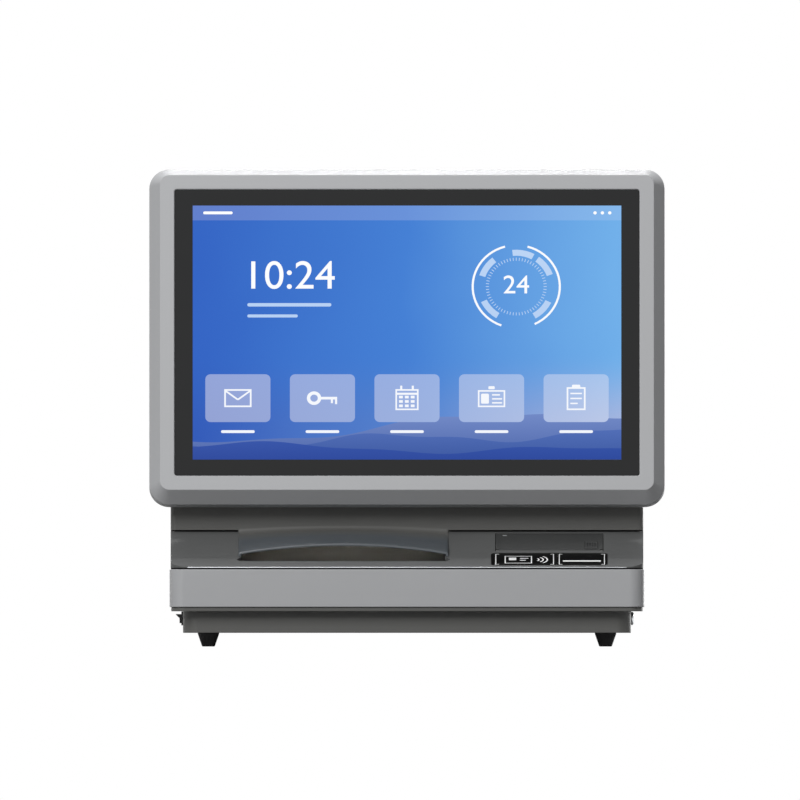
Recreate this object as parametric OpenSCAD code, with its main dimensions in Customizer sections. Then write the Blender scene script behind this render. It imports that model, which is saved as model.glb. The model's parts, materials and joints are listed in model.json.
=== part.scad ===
// Counter-top visitor terminal: a tilting touch display over a base with a hooded scan bay, a receipt
// printer and a card reader. Millimetres, +Z up, front to -Y, origin on the counter under the middle.

/* [Base shells] */
// Width of the light band round the base
body_w = 452; // [436:1:470]
// Depth of the light band
body_d = 300; // [290:1:330]
// Radius of the upright corners of the band
corner_r = 14; // [10:1:18]
// Wall thickness of the moulded shells
case_wall = 3; // [2.5:0.1:3.5]
// Height of the light band
band_h = 36; // [35:1:44]
// Height of the shadow gap between two shells
reveal = 1.5; // [1:0.1:2]
// Step of the dark shells inside the band
deck_inset = 1; // [0.5:0.1:1.5]
// Clearance between pieces that fit into each other
fit_gap = 0.3; // [0.2:0.05:0.4]
// How deep a shell's rim sits inside the shell below it
seat_depth = 4.5; // [4:0.5:6]
// Width of the ledge that a rim rests on
ledge_w = 5; // [4:0.5:7]
// Thickness of ledges and rims
ledge_t = 2.5; // [2:0.5:3]

/* [Tray and feet] */
// Height of the dark tray below its flange
tray_h = 20.5; // [19.5:0.5:26]
// Step of the tray inside the band
tray_inset = 12.75; // [11:0.25:16]
// Wall thickness of the tray
tray_wall = 2.5; // [2:0.1:3]
// Thickness of the tray's flange
flange_h = 4; // [3:0.5:5]
// Step of the flange inside the band
flange_inset = 1.5; // [0.5:0.25:3]
// Height of a rubber foot
foot_h = 13; // [10:0.5:18]
// Diameter of a foot where it meets the tray
foot_top_d = 21; // [18:0.5:26]
// Diameter of a foot on the counter
foot_tip_d = 12; // [11:0.5:16]
// Distance of a foot's centre from the tray's sides
foot_in = 24.25; // [18:0.25:32]
// Shank diameter of the foot screws
foot_screw_d = 4; // [3:0.5:4.5]
// Shank diameter of the screws that join tray and band
case_screw_d = 3; // [2.5:0.5:3.5]
// Distance from the tray's corners to the nearest case screws
case_screw_in = 36; // [30:1:50]
// Height of the screw pillars inside the band
pillar_h = 14; // [10:1:20]
// Length of a vent slot in the tray's floor
floor_vent_l = 34; // [24:1:44]
// Number of vent slots in the tray's floor
floor_vent_n = 10; // [6:1:14]

/* [Deck] */
// Height of the upright front edge of the deck
deck_lip_h = 1.5; // [1.2:0.1:3]
// Width of the chamfer along the front edge
edge_cut = 1; // [0.6:0.1:1.1]
// Slope of the lower zone, which holds the card window
lower_slope = 19; // [16:0.5:21]
// Depth of the lower zone, seen from above
lower_run = 38.5; // [38:0.5:46]
// Slope of the upper zone, which holds the printer flap
upper_slope = 27; // [25:0.5:30]
// Depth of the upper zone, seen from above
upper_run = 38.5; // [38:0.5:46]

/* [Neck] */
// Height of the top cover over its seam
neck_h = 28; // [26:0.5:34]
// How far the neck panel stands over the deck's top edge
neck_overhang = 2; // [1.5:0.1:2.5]
// Radius of the top cover's edges
neck_edge_r = 5; // [4:0.5:7]
// Depth of the flat roof behind the neck panel
roof_run = 165; // [150:1:180]
// How far the sloping back drops to the rear wall
tail_drop = 20; // [16:1:22]
// Number of vent slots in the sloping back
tail_vent_n = 15; // [9:2:19]
// Width of a vent slot
vent_w = 3.5; // [2.5:0.1:4.5]
// Spacing of the vent slots
vent_pitch = 11; // [8:0.5:14]
// Length of a vent slot in the sloping back
tail_vent_l = 36; // [24:1:42]

/* [Scan bay] */
// Distance of the scan bay's middle from the deck's left side
bay_in = 164.5; // [159:0.5:170]
// Width of the hood
hood_w = 200; // [190:1:206]
// How far the hood stands out of the neck panel
hood_reach = 49; // [46:0.5:52]
// Wall thickness of the hood
hood_wall = 2.5; // [2:0.1:3]
// Height of the hood's crest over the seam, where it leaves the neck
hood_root_rise = 1.5; // [1:0.1:3]
// Radius of the hollow round that runs the hood into the neck
hood_flare = 4.5; // [3:0.5:6]
// Height of the lip's crest over the deck below it
lip_rise = 12.9; // [12:0.1:16]
// Fall of the arch from its crest to its ends at the neck
root_drop = 3; // [2:0.1:3.5]
// Fall of the arch from its crest to its ends at the lip
lip_drop = 8.5; // [6:0.1:9]
// Rounding of the lip and of the hood's side edges
hood_round = 2; // [1:0.1:2.4]
// Distance of the bay's mouth from the deck's front edge
bay_setback = 14.2; // [13:0.1:16]
// How much wider the mouth is on each side than the bay
mouth_flare = 4.5; // [3:0.1:5]
// Depth of the bay from its mouth to the liner's back wall
bay_depth = 97; // [90:1:104]
// Thickness of the scan bed
bed_t = 3; // [2.5:0.1:4]
// How far the bed reaches in under the deck in front
bed_tuck = 1.2; // [1:0.1:1.6]
// Width of the scan glass
scan_glass_w = 176; // [150:1:182]
// Depth of the scan glass
scan_glass_d = 82; // [64:1:88]
// Thickness of the scan glass
scan_glass_t = 2; // [1.5:0.1:2.2]
// Width of the rebate that carries the scan glass
glass_rebate = 3; // [2:0.5:4]
// Height of the liner over the bed
liner_h = 24; // [20:0.5:26]
// Wall thickness of the liner and of the light box
liner_wall = 2; // [1.6:0.1:2.4]
// Size of the camera board
camera_board = 40; // [30:1:50]
// Diameter of the camera lens
lens_d = 16; // [10:1:20]
// Length of a lamp bar
lamp_l = 150; // [100:5:170]

/* [Printer] */
// Distance of the printer's middle from the deck's right side
printer_in = 89.5; // [85:0.5:93]
// Width of the printer flap
flap_w = 102; // [98:0.5:106]
// Length of the flap up the slope
flap_len = 35.7; // [34:0.1:36.2]
// Distance of the flap from the knee of the deck
flap_start = 2.5; // [2.2:0.1:3]
// Thickness of the flap
flap_t = 3.5; // [3:0.1:4]
// Gap round the flap
flap_gap = 0.5; // [0.4:0.05:0.7]
// Width of the paper slot above the flap
paper_slot = 1.8; // [1.5:0.1:2]
// Diameter of the flap's hinge pin
flap_pin_d = 1.8; // [1.4:0.1:2]
// Width of the bearing lugs that hold the hinge pin
lug_w = 2.4; // [2:0.1:3]
// Diameter of the platen roller
platen_d = 8; // [7:0.1:8.4]
// Length of the platen roller
platen_l = 82; // [80:0.5:84]
// Diameter of the platen's shaft
platen_shaft_d = 4; // [3:0.1:4.5]
// Gap between the closed platen and the print head
head_gap = 1.1; // [1:0.05:1.3]
// Diameter of the paper roll
roll_d = 35; // [28:0.5:35.5]
// Width of the paper roll
roll_w = 79; // [57:1:80]
// Diameter of the roll's core
core_d = 12; // [10:0.5:14]
// Diameter of the spindle's ends
spindle_d = 8; // [6:0.5:9]
// Wall thickness of the printer's frame
bin_wall = 1.8; // [1.5:0.1:2]
// Depth of the paper bin below the deck
bin_depth = 53; // [50:0.5:58]
// Width of the flanges that hold the printer under the deck
bin_flange = 8; // [6:0.5:10]
// Width of the flap's push button
button_w = 12; // [9:0.5:13]
// Length of the push button up the slope
button_l = 16.5; // [12:0.5:18]
// Sideways place of the push button from the flap's middle
button_x = 40; // [38:0.5:41]
// Distance of the push button's middle from the flap's lower edge
button_s = 12.5; // [12:0.5:14]
// How far the push button stands proud
button_proud = 0.6; // [0.3:0.1:1]
// Number of grip grooves on the push button
groove_n = 4; // [2:1:5]

/* [Card reader] */
// Distance of the card window's middle from the deck's right side
window_in = 89.5; // [85:0.5:93]
// Width of the card window
window_w = 110.5; // [104:0.5:114]
// Length of the card window up the slope
window_len = 36; // [32:0.5:36.5]
// Distance of the card window from the deck's front edge
window_start = 2.6; // [2.4:0.1:3]
// Thickness of the card window
window_t = 1.8; // [1.4:0.1:2]
// Corner radius of the card window
window_r = 4; // [2:0.5:6]
// Width of the ledge under the window's edge
window_ledge = 3; // [2.5:0.1:4]
// Width of the identity card antenna
id_antenna_w = 54; // [44:1:58]
// Width of the chip card antenna
ic_antenna_w = 42; // [30:1:44]
// Thickness of circuit boards
board_t = 1.6; // [1:0.1:2]

/* [Display] */
// Width of the flat front face
face_w = 470; // [450:1:480]
// Height of the flat front face
face_h = 316; // [305:1:330]
// Corner radius of the front face
face_r = 9; // [6:0.5:12]
// Width of the bevel round the face
bevel_w = 10.3; // [8:0.1:12]
// Depth of the bevel
bevel_d = 14; // [12:0.5:17]
// Depth of the straight rim behind the bevel
rim_depth = 8; // [6:0.5:10]
// Backward lean of the display at rest
lean = 18.5; // [16:0.5:20]
// Height of the face's lower edge over the top cover
display_lift = 10.4; // [10:0.1:14]
// How far the face's lower edge stands in front of the neck
display_reach = 33; // [32:0.5:40]
// Width of the touch glass
glass_w = 442; // [432:0.5:446]
// Height of the touch glass
glass_h = 286.5; // [280:0.5:292]
// Thickness of the touch glass
glass_t = 3; // [2:0.1:4]
// How deep the glass lies in the face
glass_recess = 0.6; // [0.3:0.1:1]
// Corner radius of the touch glass
glass_r = 2; // [1:0.5:4]
// Width of the fine chamfer round the glass
window_cut = 0.8; // [0.4:0.1:1.2]
// Width of the panel's frame
lcd_w = 420; // [410:0.5:424]
// Height of the panel's frame
lcd_h = 267; // [260:0.5:272]
// Wall thickness of the display's shells
shell_wall = 2.5; // [2:0.1:3]
// Depth of the rear shell behind the rim
rear_depth = 28; // [26:0.5:34]
// How far the rear shell draws in on its left and right
rear_taper_x = 60; // [40:1:80]
// How far the rear shell draws in above and below
rear_taper_v = 52; // [48:1:60]
// Distance of the shell's screws from the edges of its flat back
shell_screw_in = 22; // [12:1:30]
// Thickness of the steel chassis behind the panel
chassis_t = 1.2; // [1:0.1:1.6]
// Number of vent slots in the rear shell
rear_vent_n = 17; // [9:2:21]
// Length of a vent slot in the rear shell
rear_vent_l = 40; // [25:1:50]

/* [Tilt hinge] */
// Height of the hinge axis above the face's lower edge
hinge_v = 54; // [52:0.5:58]
// Distance of the hinge axis behind the rear shell
hinge_off = 16; // [14:0.5:20]
// Diameter of the hinge axle
axle_d = 8; // [6:0.5:10]
// Distance between the middles of the display's hinge ears
ear_span = 140; // [120:1:150]
// Thickness of the display's hinge ears
ear_t = 4; // [3:0.5:5]
// Radius of the display's hinge ears
ear_r = 9; // [8:0.5:11]
// Thickness of the friction washers
washer_t = 1.2; // [0.8:0.1:2]
// Running gap beside each friction washer
washer_gap = 0.1; // [0.05:0.05:0.2]
// Thickness of the stand's ears
stand_ear_t = 5; // [4:0.5:6]
// Radius of the stand's ears round the axle
stand_ear_r = 11; // [9:0.5:12]
// Thickness of the stand's foot plate
stand_plate_t = 4; // [3:0.5:5]
// Thickness of the bracket on the display
bracket_t = 3; // [2.5:0.5:4]
// Height of the bracket on the display
bracket_h = 60; // [48:1:70]
// How far the bracket reaches past each of its ears
bracket_margin = 25; // [20:1:40]
// Reach of the stand's foot plate in front of the hinge axis
stand_front = 26; // [22:1:28]
// Reach of the stand's foot plate behind the hinge axis
stand_back = 36; // [32:1:50]
// Distance of the screws from the edges of bracket and foot plate
stand_screw_in = 9; // [8:0.5:10]
// Distance of the lead's gland behind the foot plate
gland_gap = 26; // [16:1:40]
// Shank diameter of the stand and bracket screws
stand_screw_d = 4; // [3:0.5:5]

/* [Switches] */
// Distance of both side switches in front of the middle
switch_y = 70; // [60:1:80]
// Height of the rocker's frame
rocker_frame_h = 13.2; // [12.8:0.1:14]
// Width of the rocker's frame
rocker_frame_w = 10.5; // [10:0.1:12]
// Thickness of the rocker's frame
rocker_frame_t = 1.6; // [1.4:0.1:2]
// Depth of the rocker's body inside the tray
rocker_body_l = 12; // [10:0.5:16]
// Height of the rocker's window
rocker_window_h = 10.6; // [10.4:0.1:11]
// Width of the rocker's window
rocker_window_w = 7.2; // [6.8:0.1:7.4]
// Diameter of the start button's bezel
start_d = 12.6; // [11:0.1:13]
// How far that bezel stands out of the tray
start_proud = 2.6; // [2:0.1:4]
// Diameter of the start button's cap
start_cap_d = 8.6; // [7:0.1:8.8]
// Depth of the start button's barrel inside the tray
start_barrel_l = 12; // [8:0.5:16]

/* [Electronics] */
// Width of the main board
main_board_w = 170; // [150:1:180]
// Depth of the main board
main_board_d = 140; // [120:1:150]
// Gap between the main board and the screw pillar beside it
board_room = 7.5; // [1:0.5:20]
// Height of the main board over the tray's flange
board_rise = 4; // [3.5:0.5:6]
// Diameter of the posts under the main board
post_d = 7; // [5:0.5:9]
// Size of the processor's heat sink
sink_size = 80; // [60:1:90]
// Height of the heat sink
sink_h = 24; // [18:1:30]
// Number of fins on the heat sink
fin_n = 9; // [6:1:12]
// Width of the connector plate
io_w = 110; // [100:1:130]
// Height of the connector plate
io_h = 24; // [22:0.5:25]
// Width of the network socket
lan_w = 16; // [15:0.5:18]
// Height of the network socket
lan_h = 13.5; // [12.5:0.5:15]
// Width of a bus socket
usb_w = 14.5; // [13.5:0.5:16]
// Height of a bus socket
usb_h = 7.2; // [7:0.1:8]
// Number of bus sockets
usb_n = 3; // [1:1:4]
// Spacing of the bus sockets
usb_pitch = 19; // [17:0.5:22]
// Depth of the sockets
port_l = 18; // [16:0.5:22]
// Gap between the mains inlet's flange and the screw pillar beside it
inlet_room = 2.5; // [1:0.5:20]
// Width of the mains inlet's body
inlet_w = 28; // [27:0.5:30]
// Height of the mains inlet's body
inlet_h = 21; // [20:0.5:23]
// Depth of the mains inlet's body
inlet_l = 30; // [26:1:34]
// Width of the power supply
psu_w = 150; // [120:1:160]
// Depth of the power supply
psu_d = 90; // [70:1:95]
// Height of the power supply
psu_h = 42; // [36:1:46]

/* [Hidden] */
$fn = 64;
HULL_FN = 32;
charcoal = "#4a4a48";
slate = "#5c5c5b";
band_grey = "#9b9c9e";
silver = "#adaeb0";
black = "#1e1e1e";
steel = "#b9bcbf";
circuit = "#23553a";
paper_white = "#f2f1ec";
lamp_white = "#f6f4e6";

// Overshoot of a cut past the face that it opens
over = 1;
// Radial clearance of a screw in its hole
screw_gap = 0.15;
// Radial clearance of a pin or shaft in its bearing
bearing_gap = 0.05;
// Head diameter and head height of a screw, as multiples of its shank
head_ratio = 1.9;
head_h_ratio = 0.6;
// How far the stand and bracket screws reach out of the shell
screw_tail = 4;

// Heights of the base's joints, from the counter up
flange_z = foot_h + tray_h;
floor_z = foot_h + tray_wall;
band_z = flange_z + flange_h;
band_top = band_z + band_h;
ledge_z = band_top - seat_depth;
deck_z = band_top + reveal;
deck_front_z = deck_z + deck_lip_h;
knee_z = deck_front_z + lower_run * tan(lower_slope);
seam_z = knee_z + upper_run * tan(upper_slope);
cover_z = seam_z + reveal;
cover_ledge_z = seam_z - seat_depth;
top_z = cover_z + neck_h;

// Plan sizes of the shells
tray_w = body_w - 2 * tray_inset;
tray_d = body_d - 2 * tray_inset;
deck_w = body_w - 2 * deck_inset;
deck_d = body_d - 2 * deck_inset;
deck_r = corner_r - deck_inset;
bay_x = bay_in - deck_w / 2;
printer_x = deck_w / 2 - printer_in;
window_x = deck_w / 2 - window_in;
rim_step = case_wall + fit_gap;

// Stations from front to back
deck_front_y = -deck_d / 2;
deck_back_y = deck_d / 2;
knee_y = deck_front_y + lower_run;
neck_y = knee_y + upper_run;
panel_y = neck_y - neck_overhang;
roof_back_y = panel_y + roof_run;
tail_z = top_z - tail_drop;
tail_slope = atan(tail_drop / (deck_back_y - roof_back_y));
// Where the deck's ledge and the cover's rim start, behind the sloping panel
rim_front_y = neck_y + case_wall / sin(upper_slope) + fit_gap;

// Feet and case screws
foot_x = tray_w / 2 - foot_in;
foot_y = tray_d / 2 - foot_in;
foot_recess_d = foot_screw_d * head_ratio + 1;
foot_recess_h = foot_h / 2;
foot_boss_h = 6;
foot_boss_d = foot_screw_d + 6;
screw_line = (tray_inset + flange_inset) / 2;
pillar_r = screw_line - case_wall + 0.6;
case_sink = case_screw_d * head_h_ratio + screw_gap;
pillar_x = tray_w / 2 - case_screw_in;
case_spots = [
    for (sx = [-1, 1], sy = [-1, 1]) [sx * pillar_x, sy * (body_d / 2 - screw_line)],
    for (sx = [-1, 1], sy = [-1, 1]) [sx * (body_w / 2 - screw_line), sy * (tray_d / 2 - case_screw_in)]
];

// Underside of the sloping deck panel
lower_drop = case_wall / cos(lower_slope);
upper_drop = case_wall / cos(upper_slope);
knee_shift = (lower_drop - upper_drop) / (tan(lower_slope) - tan(upper_slope));

function deck_top(y) =
    y < knee_y ? deck_front_z + (y - deck_front_y) * tan(lower_slope)
               : knee_z + (min(y, neck_y) - knee_y) * tan(upper_slope);

// Scan bay
hood_half = hood_w / 2;
lip_y = panel_y - hood_reach;
lip_z = deck_top(lip_y) + lip_rise;
hood_root_z = seam_z + hood_root_rise;
hood_sink = case_wall / 2;
hood_foot_gap = 0.35;
bay_half = hood_half - hood_wall - 0.8;
mouth_y = deck_front_y + bay_setback;
mouth_half = bay_half + mouth_flare;
bed_front_y = mouth_y - bed_tuck;
bed_back_y = mouth_y + bay_depth;
bed_z = deck_top(bed_front_y) - lower_drop - fit_gap;
bed_half = mouth_half + 3;
liner_front_y = rim_front_y + 1;
box_front_y = -tray_d / 2 + tray_wall + 1;
box_back_y = bed_back_y - 1;
box_half = bay_half;
box_h = bed_z - bed_t - floor_z;
glass_mid_y = (box_front_y + box_back_y) / 2;

// Printer, in the frame of the upper slope: x across, y up the slope, z out of it
pivot_s = flap_start + flap_t / 2;
pivot_n = -flap_t / 2;
flap_end = flap_start + flap_len;
flap_notch = lug_w + 2 * fit_gap;
flap_notch_l = flap_t + 0.8;
platen_n = -flap_t - platen_d / 2 - 0.5;
platen_s = flap_end - platen_d / 2 - 0.9;
arm_t = 3;
arm_gap = 0.5;
arm_r = platen_shaft_d / 2 + 2;
head_s = platen_s + platen_d / 2 + head_gap;
head_t = 2.2;
bin_low = flap_start - flap_gap;
bin_high = head_s + head_t;
bin_half = flap_w / 2 + flap_gap + 0.1;
roll_s = (bin_low + bin_high) / 2;
roll_n = -bin_depth + bin_wall + roll_d / 2 + 1.5;
button_flange = 1.2;
button_flange_t = 1.5;
led_w = 4;
led_l = 1.6;
led_t = 2;
led_x = -flap_w / 2 + 8.5;
led_s = flap_end - 3;

// Display, in its own frame: x across, y back from the face, z up the face
display_y = panel_y - display_reach;
display_z = top_z + display_lift;
face_mid = face_h / 2;
outer_w = face_w + 2 * bevel_w;
outer_h = face_h + 2 * bevel_w;
outer_r = face_r + bevel_w;
glass_back = glass_recess + glass_t;
rim_end = bevel_d + rim_depth;
rear_end = rim_end + rear_depth;
bezel_step = 3;
shell_inset = 1;
chassis_back = bevel_d + chassis_t;
hinge_d = rear_end + hinge_off;
hinge_y = display_y + hinge_v * sin(lean) + hinge_d * cos(lean);
hinge_z = display_z + hinge_v * cos(lean) - hinge_d * sin(lean);
ear_x = ear_span / 2;
washer_x = ear_x + ear_t / 2 + washer_gap;
stand_ear_x = washer_x + washer_t + washer_gap;
axle_end_x = stand_ear_x + stand_ear_t;
nut_t = axle_d * 0.7;
bracket_low = hinge_v - ear_r;
bracket_w = ear_span + 2 * bracket_margin;
bracket_spots = [
    for (sx = [-1, 1], v = [stand_screw_in, bracket_h - stand_screw_in])
        [sx * (bracket_w / 2 - stand_screw_in), bracket_low + v]
];
shell_screw_d = 3;
shell_x = outer_w / 2 - rear_taper_x - shell_screw_in;
shell_v = outer_h / 2 - rear_taper_v - shell_screw_in;
shell_spots = [for (sx = [-1, 1], sv = [-1, 1]) [sx * shell_x, face_mid + sv * shell_v]];
chassis_post_d = 9;
stand_plate_front = hinge_y - stand_front;
stand_plate_back = hinge_y + stand_back;
stand_spots = [
    for (sx = [-1, 1], y = [stand_plate_front + stand_screw_in, stand_plate_back - stand_screw_in])
        [sx * (ear_x - 2 * stand_screw_in), y]
];
gland_y = stand_plate_back + gland_gap;
gland_d = 16;

// Side switches
switch_z = flange_z - rocker_frame_h / 2 - 0.2;
rocker_pivot = rocker_frame_t / 2;
rocker_pin_d = 2;
rocker_sleeve_wall = 0.8;
start_barrel_d = start_cap_d + 2;
start_collar_t = 1.5;
start_nut_t = 3;
start_cut = 1;

// Electronics
board_z = band_z + board_rise;
board_top = board_z + board_t;
wall_in_y = body_d / 2 - case_wall;
tray_in_x = tray_w / 2 - tray_wall;
tray_in_y = tray_d / 2 - tray_wall;
port_face_y = body_d / 2 - 0.6;
main_board_x = main_board_w / 2 + pillar_r + board_room - pillar_x;
main_board_back = wall_in_y - 3.5;
main_board_front = main_board_back - main_board_d;
post_in = 6;
post_back_y = min(main_board_back - post_in, tray_in_y - post_d / 2 - over);
post_spots = [
    for (sx = [-1, 1], y = [main_board_front + post_in, post_back_y])
        [main_board_x + sx * (main_board_w / 2 - post_in), y]
];
io_t = 1.5;
io_edge = 3;
io_z = board_top + io_h / 2 - io_edge;
port_in = 8;
lan_x = main_board_x + io_w / 2 - lan_w / 2 - port_in;
usb_x = main_board_x - io_w / 2 + usb_w / 2 + port_in;
inlet_flange = 6;
inlet_flange_h = 2;
inlet_x = pillar_x - pillar_r - inlet_room - inlet_flange - inlet_w / 2;
inlet_z = (band_z + ledge_z - ledge_t) / 2;
psu_x = tray_in_x - over - psu_w;
psu_y = foot_y - foot_boss_d / 2 - over - psu_d;

// Flat outline with four round corners, centred
module rounded_rect(w, d, r) {
    square([w - 2 * r, d], center = true);
    square([w, d - 2 * r], center = true);
    for (sx = [-1, 1], sy = [-1, 1]) translate([sx * (w / 2 - r), sy * (d / 2 - r)]) circle(r);
}

module rounded_ring(w, d, r, t) {
    difference() {
        rounded_rect(w, d, r);
        rounded_rect(w - 2 * t, d - 2 * t, max(r - t, 0.5));
    }
}

// Outline in y and z, drawn out along x
module along_x(w) {
    rotate([90, 0, 90]) linear_extrude(w, center = true) children();
}

// Outline in x and z, drawn out along y from y0 to y1
module along_y(y0, y1) {
    translate([0, y1, 0]) rotate([90, 0, 0]) linear_extrude(y1 - y0) children();
}

module at_spots(spots, z) {
    for (p = spots) translate([p[0], p[1], z]) children();
}

module at_feet(z) {
    for (sx = [-1, 1], sy = [-1, 1]) translate([sx * foot_x, sy * foot_y, z]) children();
}

// Frames of the two deck slopes and of the display
module on_lower_slope() {
    translate([0, deck_front_y, deck_front_z]) rotate([lower_slope, 0, 0]) children();
}

module on_upper_slope() {
    translate([printer_x, knee_y, knee_z]) rotate([upper_slope, 0, 0]) children();
}

module in_display() {
    translate([0, display_y, display_z]) rotate([-lean, 0, 0]) children();
}

// Row of vent slots across x, from z = 0 up
module vent_row(n, l, h) {
    for (i = [0 : n - 1])
        translate([(i - (n - 1) / 2) * vent_pitch - vent_w / 2, 0, 0]) cube([vent_w, l, h]);
}

// Rod along x between two ends
module x_rod(d, x0, x1) {
    translate([x0, 0, 0]) rotate([0, 90, 0]) cylinder(d = d, h = x1 - x0);
}

// Pan-head screw with its shank upwards and its head below the origin
module screw(d, l) {
    translate([0, 0, -d * head_h_ratio]) cylinder(d = d * head_ratio, h = d * head_h_ratio);
    cylinder(d = d, h = l);
}

// Rounded block along y whose outline grows evenly on every side from front to back
module flared_block(w, h, r, grow, depth) {
    rotate([90, 0, 90]) linear_extrude(w - 2 * r, center = true)
        polygon([[0, -h / 2], [0, h / 2], [depth, h / 2 + grow], [depth, -h / 2 - grow]]);
    linear_extrude(h - 2 * r, center = true)
        polygon([[-w / 2, 0], [w / 2, 0], [w / 2 + grow, depth], [-w / 2 - grow, depth]]);
    for (sx = [-1, 1], sv = [-1, 1])
        translate([sx * (w / 2 - r), 0, sv * (h / 2 - r)])
            rotate([-90, 0, 0]) cylinder(r1 = r, r2 = r + grow, h = depth);
}

// Tray with a flange round its rim, screw bosses for the feet and vent slots in its floor
module lower_tray() {
    color(charcoal) difference() {
        union() {
            difference() {
                union() {
                    translate([0, 0, foot_h])
                        linear_extrude(tray_h + flange_h) rounded_rect(tray_w, tray_d, corner_r);
                    translate([0, 0, flange_z]) linear_extrude(flange_h)
                        rounded_rect(body_w - 2 * flange_inset, body_d - 2 * flange_inset,
                                     corner_r - flange_inset);
                }
                translate([0, 0, floor_z]) linear_extrude(tray_h + flange_h)
                    rounded_rect(tray_w - 2 * tray_wall, tray_d - 2 * tray_wall, corner_r - tray_wall);
            }
            at_feet(floor_z - over) cylinder(d = foot_boss_d, h = foot_boss_h + over);
        }
        at_feet(foot_h - over) cylinder(d = foot_screw_d + 2 * screw_gap, h = tray_h);
        at_spots(case_spots, flange_z - over) {
            cylinder(d = case_screw_d + 2 * screw_gap, h = flange_h + 2 * over);
            cylinder(d = case_screw_d * head_ratio + 2 * screw_gap, h = case_sink + over);
        }
        rocker_hole();
        start_hole();
        for (row = [0, 1])
            translate([0, tray_d / 4 - row * (floor_vent_l + vent_pitch), foot_h - over])
                vent_row(floor_vent_n, floor_vent_l, tray_wall + 2 * over);
    }
}

// Four tapered rubber feet, each with a recess for its screw
module feet() {
    color(black) at_feet(0) rotate_extrude() polygon([
        [foot_recess_d / 2, 0], [foot_tip_d / 2, 0], [foot_top_d / 2, foot_h],
        [foot_screw_d / 2 + screw_gap, foot_h], [foot_screw_d / 2 + screw_gap, foot_recess_h],
        [foot_recess_d / 2, foot_recess_h]
    ]);
}

module foot_screws() {
    color(steel) at_feet(foot_recess_h)
        screw(foot_screw_d, floor_z + foot_boss_h - foot_recess_h - over);
}

module case_screws() {
    color(steel) at_spots(case_spots, flange_z + case_sink)
        screw(case_screw_d, flange_h - case_sink + pillar_h - 2 * over);
}

// Light band with a ledge inside for the deck, screw pillars and openings for the connectors
module mid_frame() {
    color(band_grey) difference() {
        union() {
            translate([0, 0, band_z])
                linear_extrude(band_h) rounded_ring(body_w, body_d, corner_r, case_wall);
            translate([0, 0, ledge_z - ledge_t]) linear_extrude(ledge_t)
                rounded_ring(body_w - case_wall, body_d - case_wall, corner_r - case_wall / 2,
                             case_wall / 2 + ledge_w);
            at_spots(case_spots, band_z) cylinder(r = pillar_r, h = pillar_h);
        }
        at_spots(case_spots, band_z - over)
            cylinder(d = case_screw_d + 2 * screw_gap, h = pillar_h);
        translate([main_board_x - io_w / 2 + io_edge, wall_in_y - over, io_z - io_h / 2 + io_edge - fit_gap])
            cube([io_w - 2 * io_edge, case_wall + 2 * over, io_h - 2 * (io_edge - fit_gap)]);
        translate([inlet_x - inlet_w / 2 - fit_gap, wall_in_y - over, inlet_z - inlet_h / 2 - fit_gap])
            cube([inlet_w + 2 * fit_gap, case_wall + 2 * over, inlet_h + 2 * fit_gap]);
    }
}

// Side outline of the deck, with the chamfer of its front edge
module deck_outline() {
    polygon([
        [deck_front_y - (deck_lip_h - edge_cut) / (1 + tan(lower_slope)), deck_z],
        [deck_front_y + edge_cut, deck_front_z + edge_cut * tan(lower_slope)],
        [knee_y, knee_z], [neck_y, seam_z], [deck_back_y + over, seam_z], [deck_back_y + over, deck_z]
    ]);
}

// The same outline one wall further in, open at the top behind the slope and at the bottom
module deck_hollow() {
    under_z = deck_z - over;
    under_knee_z = knee_z - upper_drop + knee_shift * tan(upper_slope);
    polygon([
        [deck_front_y + (under_z - deck_front_z + lower_drop) / tan(lower_slope), under_z],
        [knee_y + knee_shift, under_knee_z],
        [neck_y + (upper_drop + over) / tan(upper_slope), seam_z + over],
        [deck_back_y + over, seam_z + over], [deck_back_y + over, under_z]
    ]);
}

// Plan of the bay, with a mouth that widens towards the front
module bay_plan() {
    cut_back_y = panel_y + 4 * case_wall;
    corner = 3;
    straight_y = mouth_y + corner + 2;
    translate([bay_x, 0]) polygon([
        [-bay_half, cut_back_y], [-bay_half, lip_y + over], [-mouth_half, straight_y],
        [-mouth_half, mouth_y + corner], [-mouth_half + corner, mouth_y],
        [mouth_half - corner, mouth_y], [mouth_half, mouth_y + corner], [mouth_half, straight_y],
        [bay_half, lip_y + over], [bay_half, cut_back_y]
    ]);
}

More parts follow.
